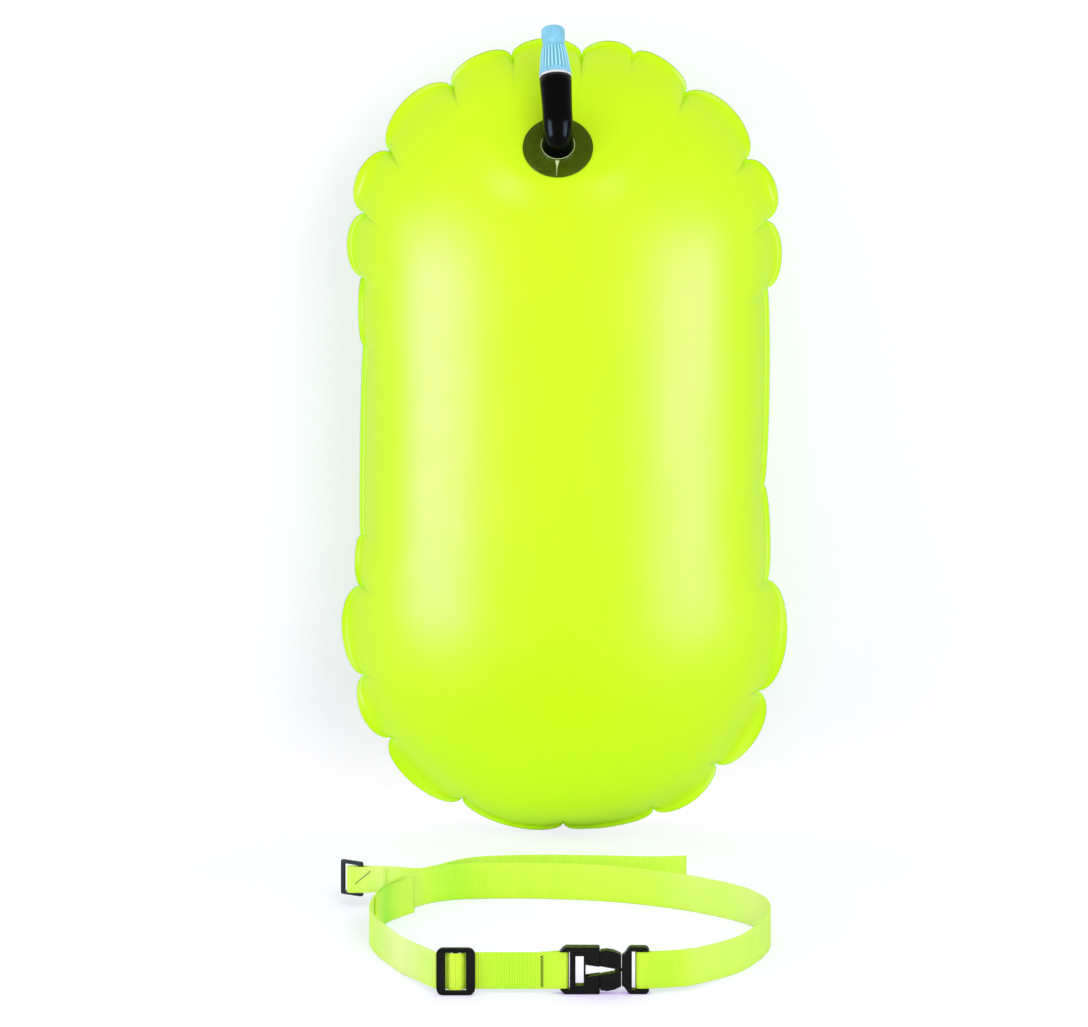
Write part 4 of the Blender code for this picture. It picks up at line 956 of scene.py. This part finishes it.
def discProfile():
    # radius and height, from the port over the boss to the rim, and back below to the collar
    rim, thick = valve["radius"], valve["thick"]
    boss, high = valve["bossRadius"], valve["bossHeight"]
    port, collar, deep = valve["port"], valve["collarRadius"], -valve["collarDepth"]
    return [
        (port, high - 0.002), (hose["radius"], high - 0.002), (boss - 0.0006, high - 0.0001),
        (boss - 0.0002, high), (boss, high - 0.0003), (boss + 0.0001, thick + 0.0012),
        (boss + 0.0004, thick + 0.0005), (boss + 0.0012, thick + 0.0001), (boss + 0.003, thick),
        (rim - 0.004, thick), (rim - 0.0008, thick - 0.0001), (rim - 0.0002, thick - 0.0004),
        (rim, thick - 0.0008), (rim - 0.0001, 0.0002), (rim - 0.0004, 0.0),
        (collar, 0.0), (collar, deep), (port, deep), (port, high - 0.002),
    ]


def beadProfile():
    boss = valve["bossRadius"] - valve["beadIn"]
    high, bead = valve["bossHeight"], valve["bead"]
    angles = [2 * math.pi * k / valve["beadSides"] for k in range(valve["beadSides"] + 1)]
    return [(boss + bead * math.sin(a), high + bead * math.cos(a)) for a in angles]


def addOnValve(name, profile, material, nodes=()):
    face, normal = valveFrame()
    turn = normal.to_track_quat("Z", "Y").to_matrix().to_4x4()
    mesh = turnedMesh(name, profile, valve["turns"])
    mesh.transform(Matrix.Translation(face) @ turn)
    makeObject(name, mesh, material, "bladder", nodes)


drip = {
    "steps": 14,
    "sides": 8,
    "across": -0.0004,
    "lean": -0.0006,
    "fromBoss": 0.0002,
    "short": 0.0012,
    "belowTop": 0.0012,
    "fall": 5,
    "width": 0.0030,
    "thin": 0.00016,
}


def dripRadius(share):
    return drip["width"] / 2 * (1 - share) ** 3 + drip["thin"]


def addDrip():
    # the bead of glue runs down the disc in a thin drip
    face, normal = valveFrame()
    tilt = bladder["valveTilt"]
    downhill = Vector((0, -math.sin(tilt), -math.cos(tilt)))
    rim, boss, thick = valve["radius"], valve["bossRadius"], valve["thick"]
    head = valve["bossHeight"] - drip["belowTop"] - thick
    trail = []
    for k in range(drip["steps"] + 1):
        share = k / drip["steps"]
        across = Vector((drip["across"] + drip["lean"] * share, 0, 0))
        lift = thick + head * max(0, 1 - share * drip["fall"]) ** 2
        down = boss + drip["fromBoss"] + (rim - boss - drip["short"]) * share
        trail.append(face + across + downhill * down + normal * lift)
    mesh = tubeMesh("bossDrip", trail, dripRadius, drip["sides"])
    makeObject("bossDrip", mesh, beadLime, "bladder")


def addValveDisc():
    addOnValve("valveDisc", discProfile(), discTint, ("valve_flange",))
    addOnValve("bossBead", beadProfile(), beadLime)
    addDrip()


hose = {
    "radius": 0.0102,
    "sides": 48,
    "sunk": 0.0018,
    "rootRadius": 0.0110,
    "rootShare": 0.12,
    "bend": 0.0150,
    "flare": 0.07,
    "flareFrom": 0.77,
    "flareOver": 0.23,
    "footSteps": 4,
    "bendSteps": 24,
    "upSteps": 8,
    "foot": (-0.006181, 0.126099, 0.538372),
    "up": (-0.050593, 0.529241, 0.846962),
}


def hoseRoute():
    # out along the disc's axis, round the elbow, then up to the cap's foot
    face, normal = valveFrame()
    end, up = Vector(hose["foot"]), Vector(hose["up"])
    span = end - face
    turn = normal.y * up.z - normal.z * up.y
    reach = (span.y * up.z - span.z * up.y) / turn
    rise = (normal.y * span.z - normal.z * span.y) / turn
    corner = end - up * rise
    start = face + normal * (valve["bossHeight"] - hose["sunk"])
    bendIn = corner + (start - corner).normalized() * min(hose["bend"], reach - valve["bossHeight"])
    bendOut = corner + up * hose["bend"]
    points = [start.lerp(bendIn, k / hose["footSteps"]) for k in range(hose["footSteps"])]
    for k in range(hose["bendSteps"] + 1):
        share = k / hose["bendSteps"]
        points.append(bendIn.lerp(corner, share).lerp(corner.lerp(bendOut, share), share))
    points += [bendOut.lerp(end, k / hose["upSteps"]) for k in range(1, hose["upSteps"] + 1)]
    return points, up


def hoseRadius(share):
    root = (hose["rootRadius"] - hose["radius"]) * (1 - smoothStep(share / hose["rootShare"]))
    flare = max(0, (share - hose["flareFrom"]) / hose["flareOver"])
    return hose["radius"] * (1 + hose["flare"] * flare) + root


def addHose():
    points, up = hoseRoute()
    mesh = tubeMesh("hoseTube", points, hoseRadius, hose["sides"])
    makeObject("hoseTube", mesh, hoseRubber, "bladder", ("inflation_hose",))
    return points[-1], up


cap = {
    "base": 0.0042,
    "rim": 0.0018,
    "rimIn": 0.0002,
    "bevel": 0.0003,
    "skirt": 0.0200,
    "skirtRadius": 0.0110,
    "skirtBow": 0.0003,
    "skirtSteps": 16,
    "shoulderRadius": 0.0082,
    "shoulderIn": 0.0004,
    "neckRadius": 0.0074,
    "nozzleRadius": 0.0080,
    "nozzle": 0.0139,
    "nozzleSwell": 1.5,
    "nozzleSteps": 8,
    "step": 0.0006,
    "bore": 0.0042,
    "boreEdge": 0.0004,
    "boreBelow": 0.003,
    "inner": 0.0075,
    "innerAbove": 0.004,
    "edge": 0.0026,
    "turns": 288,
    "ribs": 24,
    "ribDepth": 0.00075,
    "ribRoom": 0.0004,
    "ribFoot": 0.0009,
    "ribHead": 0.0012,
    "grooveWidth": 1.25,
    "ridgeWidth": 1.5,
}


def capGroove(radius, height, angle):
    # how deep in a groove this place is, and how far it is on the ribbed part
    low = cap["base"] + cap["rim"] + cap["step"]
    high = cap["base"] + cap["skirt"]
    if radius <= cap["inner"] + cap["ribRoom"] or height <= low or height >= high:
        return 0.0, 0.0
    fade = smoothStep((height - low) / cap["ribFoot"])
    fade *= smoothStep((high - height) / cap["ribHead"])
    ridge = abs(math.cos(cap["ribs"] * angle / 2)) * cap["grooveWidth"]
    return max(0, 1 - ridge) ** 0.5 * fade, fade


def capRadius(radius, height, angle):
    return radius - cap["ribDepth"] * capGroove(radius, height, angle)[0]


def capProfile():
    base, step, edge, bevel = cap["base"], cap["step"], cap["edge"], cap["bevel"]
    ribBase = base + cap["rim"]
    shoulder = base + cap["skirt"]
    tip = shoulder + step + cap["nozzle"]
    skirt, bore = cap["skirtRadius"], cap["bore"]
    profile = [
        (cap["inner"], base + cap["innerAbove"]), (cap["inner"], base), (skirt - bevel, base),
        (skirt, base + bevel), (skirt, ribBase - bevel), (skirt - cap["rimIn"], ribBase),
        (skirt - bevel, ribBase + step),
    ]
    low = skirt - bevel
    ribHeight = shoulder - ribBase - step
    for k in range(1, cap["skirtSteps"] + 1):
        share = k / cap["skirtSteps"]
        bow = math.sin(math.pi * share) * cap["skirtBow"]
        radius = low + (cap["shoulderRadius"] - low) * share + bow
        profile.append((radius, ribBase + step + ribHeight * share))
    profile.append((cap["shoulderRadius"] - cap["shoulderIn"], shoulder + step * 0.5))
    profile.append((cap["neckRadius"], shoulder + step * 2))
    nozzleHeight = tip - edge - shoulder - step * 2
    for k in range(1, cap["nozzleSteps"] + 1):
        share = k / cap["nozzleSteps"]
        swell = (cap["nozzleRadius"] - cap["neckRadius"]) * smoothStep(share * cap["nozzleSwell"])
        profile.append((cap["neckRadius"] + swell, shoulder + step * 2 + nozzleHeight * share))
    for k in range(1, cap["nozzleSteps"] + 1):
        turn = math.pi / 2 * k / cap["nozzleSteps"]
        radius = cap["nozzleRadius"] - edge + edge * math.cos(turn)
        profile.append((radius, tip - edge + edge * math.sin(turn)))
    profile += [(bore + cap["boreEdge"], tip), (bore, tip - cap["boreEdge"])]
    profile.append((bore, shoulder - cap["boreBelow"]))
    return profile


def addCap(foot, up):
    profile = capProfile()
    turns = cap["turns"]
    mesh = turnedMesh("ribbedCap", profile, turns, capRadius)
    marks = [capGroove(r, h, 2 * math.pi * k / turns) for r, h in profile for k in range(turns)]
    # marks for the painted shade in the grooves and the painted highlight on the ridges
    paint(mesh, "grooveShade", [grooveShade for grooveShade, _ in marks])
    paint(mesh, "ridge", [max(0, fade - grooveShade * cap["ridgeWidth"]) for grooveShade, fade in marks])
    turn = up.to_track_quat("Z", "Y").to_matrix().to_4x4()
    mesh.transform(Matrix.Translation(foot) @ turn)
    makeObject("ribbedCap", mesh, capBlue, "mouth", ("mouthpiece",))


addValveDisc()
hoseEnd, hoseUp = addHose()
addCap(hoseEnd, hoseUp)
print("hose and cap made")

# finishes of the plain pieces

plainPieces = {
    "check_flap": silicone,
    "flap_cage": innerPlastic,
    "nozzle_barrel": innerPlastic,
    "seal_ring": sealWhite,
    "valve_plug": innerPlastic,
    "plug_seal": silicone,
    "anchor_patch": patchFilm,
    "anchor_loop": plainWebbing,
    "leash_ring": blackPlastic,
    "belt_slide": blackPlastic,
    "buckle_socket": blackPlastic,
    "buckle_plug": blackPlastic,
    "release_arm_upper": blackPlastic,
    "release_arm_lower": blackPlastic,
}
for node, material in plainPieces.items():
    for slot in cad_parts[node].material_slots:
        slot.material = material
print("plain pieces finished")

# studio

studio = {
    "floorSize": 60.0,
    "fadeFrom": 0.10,
    "fadeOver": 0.14,
    "wallBack": 0.322,
    "wallHeight": 1.6,
    "wallHalfWidth": 1.6,
    "wallLow": 0.07,
    "seenShade": (0.854, 1.0, 0.76),
    "floorGlow": (0.24, 0.08, 0.45),
    "wallGlow": (0.18, 0.0, 0.42),
    "bounce": 0.96,
    "worldStrength": 0.76,
    "lampAim": (0, 0.1, 0.25),
}

softLamps = {
    "keyLamp": {
        "azimuth": 18.0, "elevation": 24.0, "distance": 3.0, "size": (1.5, 1.5), "power": 23.0,
    },
    "fillLamp": {
        "azimuth": -58.0, "elevation": 4.0, "distance": 2.5, "size": (1.2, 1.2), "power": 10.0,
    },
}

# strip lamps that show only as reflections: azimuth and power of each
strips = {
    "stripLeft": (-65.0, 14.0),
    "stripRight": (62.0, 10.6),
    "tint": (0.50, 0.70, 1.0),
    "distance": 0.62,
    "size": (0.36, 0.50),
    "raise": 0.01,
}


def mixShaders(material, share, first, second):
    node = material.node_tree.nodes.new("ShaderNodeMixShader")
    for socket, source in zip(node.inputs, (share, first, second)):
        join(material, source, socket)
    return node.outputs[0]


def stageMaterial(name, axis, fadeFrom, fadeOver, glowColour, solid):
    # shaded near the buoy and plain white further on, so that no seam is seen
    material = bpy.data.materials.new(name)
    material.use_nodes = True
    tree = material.node_tree
    tree.nodes.clear()
    output = tree.nodes.new("ShaderNodeOutputMaterial")
    seen = addNode(material, "ShaderNodeBsdfDiffuse", Color=(*studio["seenShade"], 1))
    glow = addNode(material, "ShaderNodeEmission", Color=(*glowColour, 1), Strength=1.0)
    white = addNode(material, "ShaderNodeEmission", Color=(1, 1, 1, 1), Strength=1.0)
    near = tree.nodes.new("ShaderNodeAddShader")
    join(material, seen.outputs[0], near.inputs[0])
    join(material, glow.outputs[0], near.inputs[1])
    beyond = calc(material, "SUBTRACT", axes(material)[axis], fadeFrom)
    fade = rampAcross(material, calc(material, "DIVIDE", beyond, fadeOver), (0.0, 1.0), 0.0, 1.0)
    faded = mixShaders(material, fade, near.outputs[0], white.outputs[0])
    toCamera = tree.nodes.new("ShaderNodeLightPath").outputs["Is Camera Ray"]
    if solid:
        # other rays meet a neutral floor, so that it lights the buoy evenly
        bounce = studio["bounce"]
        other = addNode(material, "ShaderNodeBsdfDiffuse", Color=(bounce, bounce, bounce, 1))
    else:
        # other rays, and the camera from behind, go through the backdrop
        other = tree.nodes.new("ShaderNodeBsdfTransparent")
        geometry = tree.nodes.new("ShaderNodeNewGeometry")
        inFront = calc(material, "SUBTRACT", 1, geometry.outputs["Backfacing"])
        toCamera = calc(material, "MULTIPLY", inFront, toCamera)
    shown = mixShaders(material, toCamera, other.outputs[0], faded)
    join(material, shown, output.inputs["Surface"])
    return material


def addStagePiece(name, corners, material):
    mesh = bpy.data.meshes.new(name)
    mesh.from_pydata(corners, [], [(0, 1, 2, 3)])
    mesh.materials.append(material)
    piece = bpy.data.objects.new(name, mesh)
    scene.collection.objects.link(piece)


def addStage():
    far = studio["floorSize"] / 2
    fadeFrom, fadeOver = studio["fadeFrom"], studio["fadeOver"]
    ground = stageMaterial("whiteFloor", "Y", fadeFrom, fadeOver, studio["floorGlow"], True)
    addStagePiece("floor", [(-far, -far, 0), (far, -far, 0), (far, far, 0), (-far, far, 0)], ground)
    half, back, high = studio["wallHalfWidth"], studio["wallBack"], studio["wallHeight"]
    low = studio["wallLow"]
    paper = stageMaterial("whiteBackdrop", "Z", low, -low, studio["wallGlow"], False)
    corners = [(-half, back, 0), (half, back, 0), (half, back, high), (-half, back, high)]
    addStagePiece("backdrop", corners, paper)


def addLamp(name, azimuth, elevation, distance, size, power, glossy=True, diffuse=True):
    light = bpy.data.lights.new(name, "AREA")
    light.shape = "RECTANGLE"
    light.size, light.size_y = size
    light.energy = power
    lamp = bpy.data.objects.new(name, light)
    a, e = math.radians(azimuth), math.radians(elevation)
    away = Vector((math.sin(a) * math.cos(e), -math.cos(a) * math.cos(e), math.sin(e)))
    lamp.location = Vector(studio["lampAim"]) + away * distance
    lamp.rotation_euler = (-away).to_track_quat("-Z", "Y").to_euler()
    lamp.visible_glossy = glossy
    lamp.visible_diffuse = diffuse
    lamp.visible_camera = False
    scene.collection.objects.link(lamp)
    return lamp


def addLight():
    world = bpy.data.worlds.new("studioWorld")
    scene.world = world
    world.use_nodes = True
    tree = world.node_tree
    background = tree.nodes["Background"]
    background.inputs["Color"].default_value = (1, 1, 1, 1)
    lightPath = tree.nodes.new("ShaderNodeLightPath")
    strength = tree.nodes.new("ShaderNodeMix")
    strength.data_type = "FLOAT"
    strength.inputs[2].default_value = studio["worldStrength"]
    strength.inputs[3].default_value = 1.0
    tree.links.new(lightPath.outputs["Is Camera Ray"], strength.inputs[0])
    tree.links.new(strength.outputs[0], background.inputs["Strength"])
    for name, settings in softLamps.items():
        addLamp(name, glossy=False, **settings)
    for name in ("stripLeft", "stripRight"):
        azimuth, power = strips[name]
        lamp = addLamp(name, azimuth, 0, strips["distance"], strips["size"], power, diffuse=False)
        lamp.data.color = strips["tint"]
        lamp.location.z = strips["size"][1] / 2 + strips["raise"]
        lamp.rotation_euler = (math.pi / 2, 0, math.radians(azimuth))


addStage()
addLight()
print("studio made")
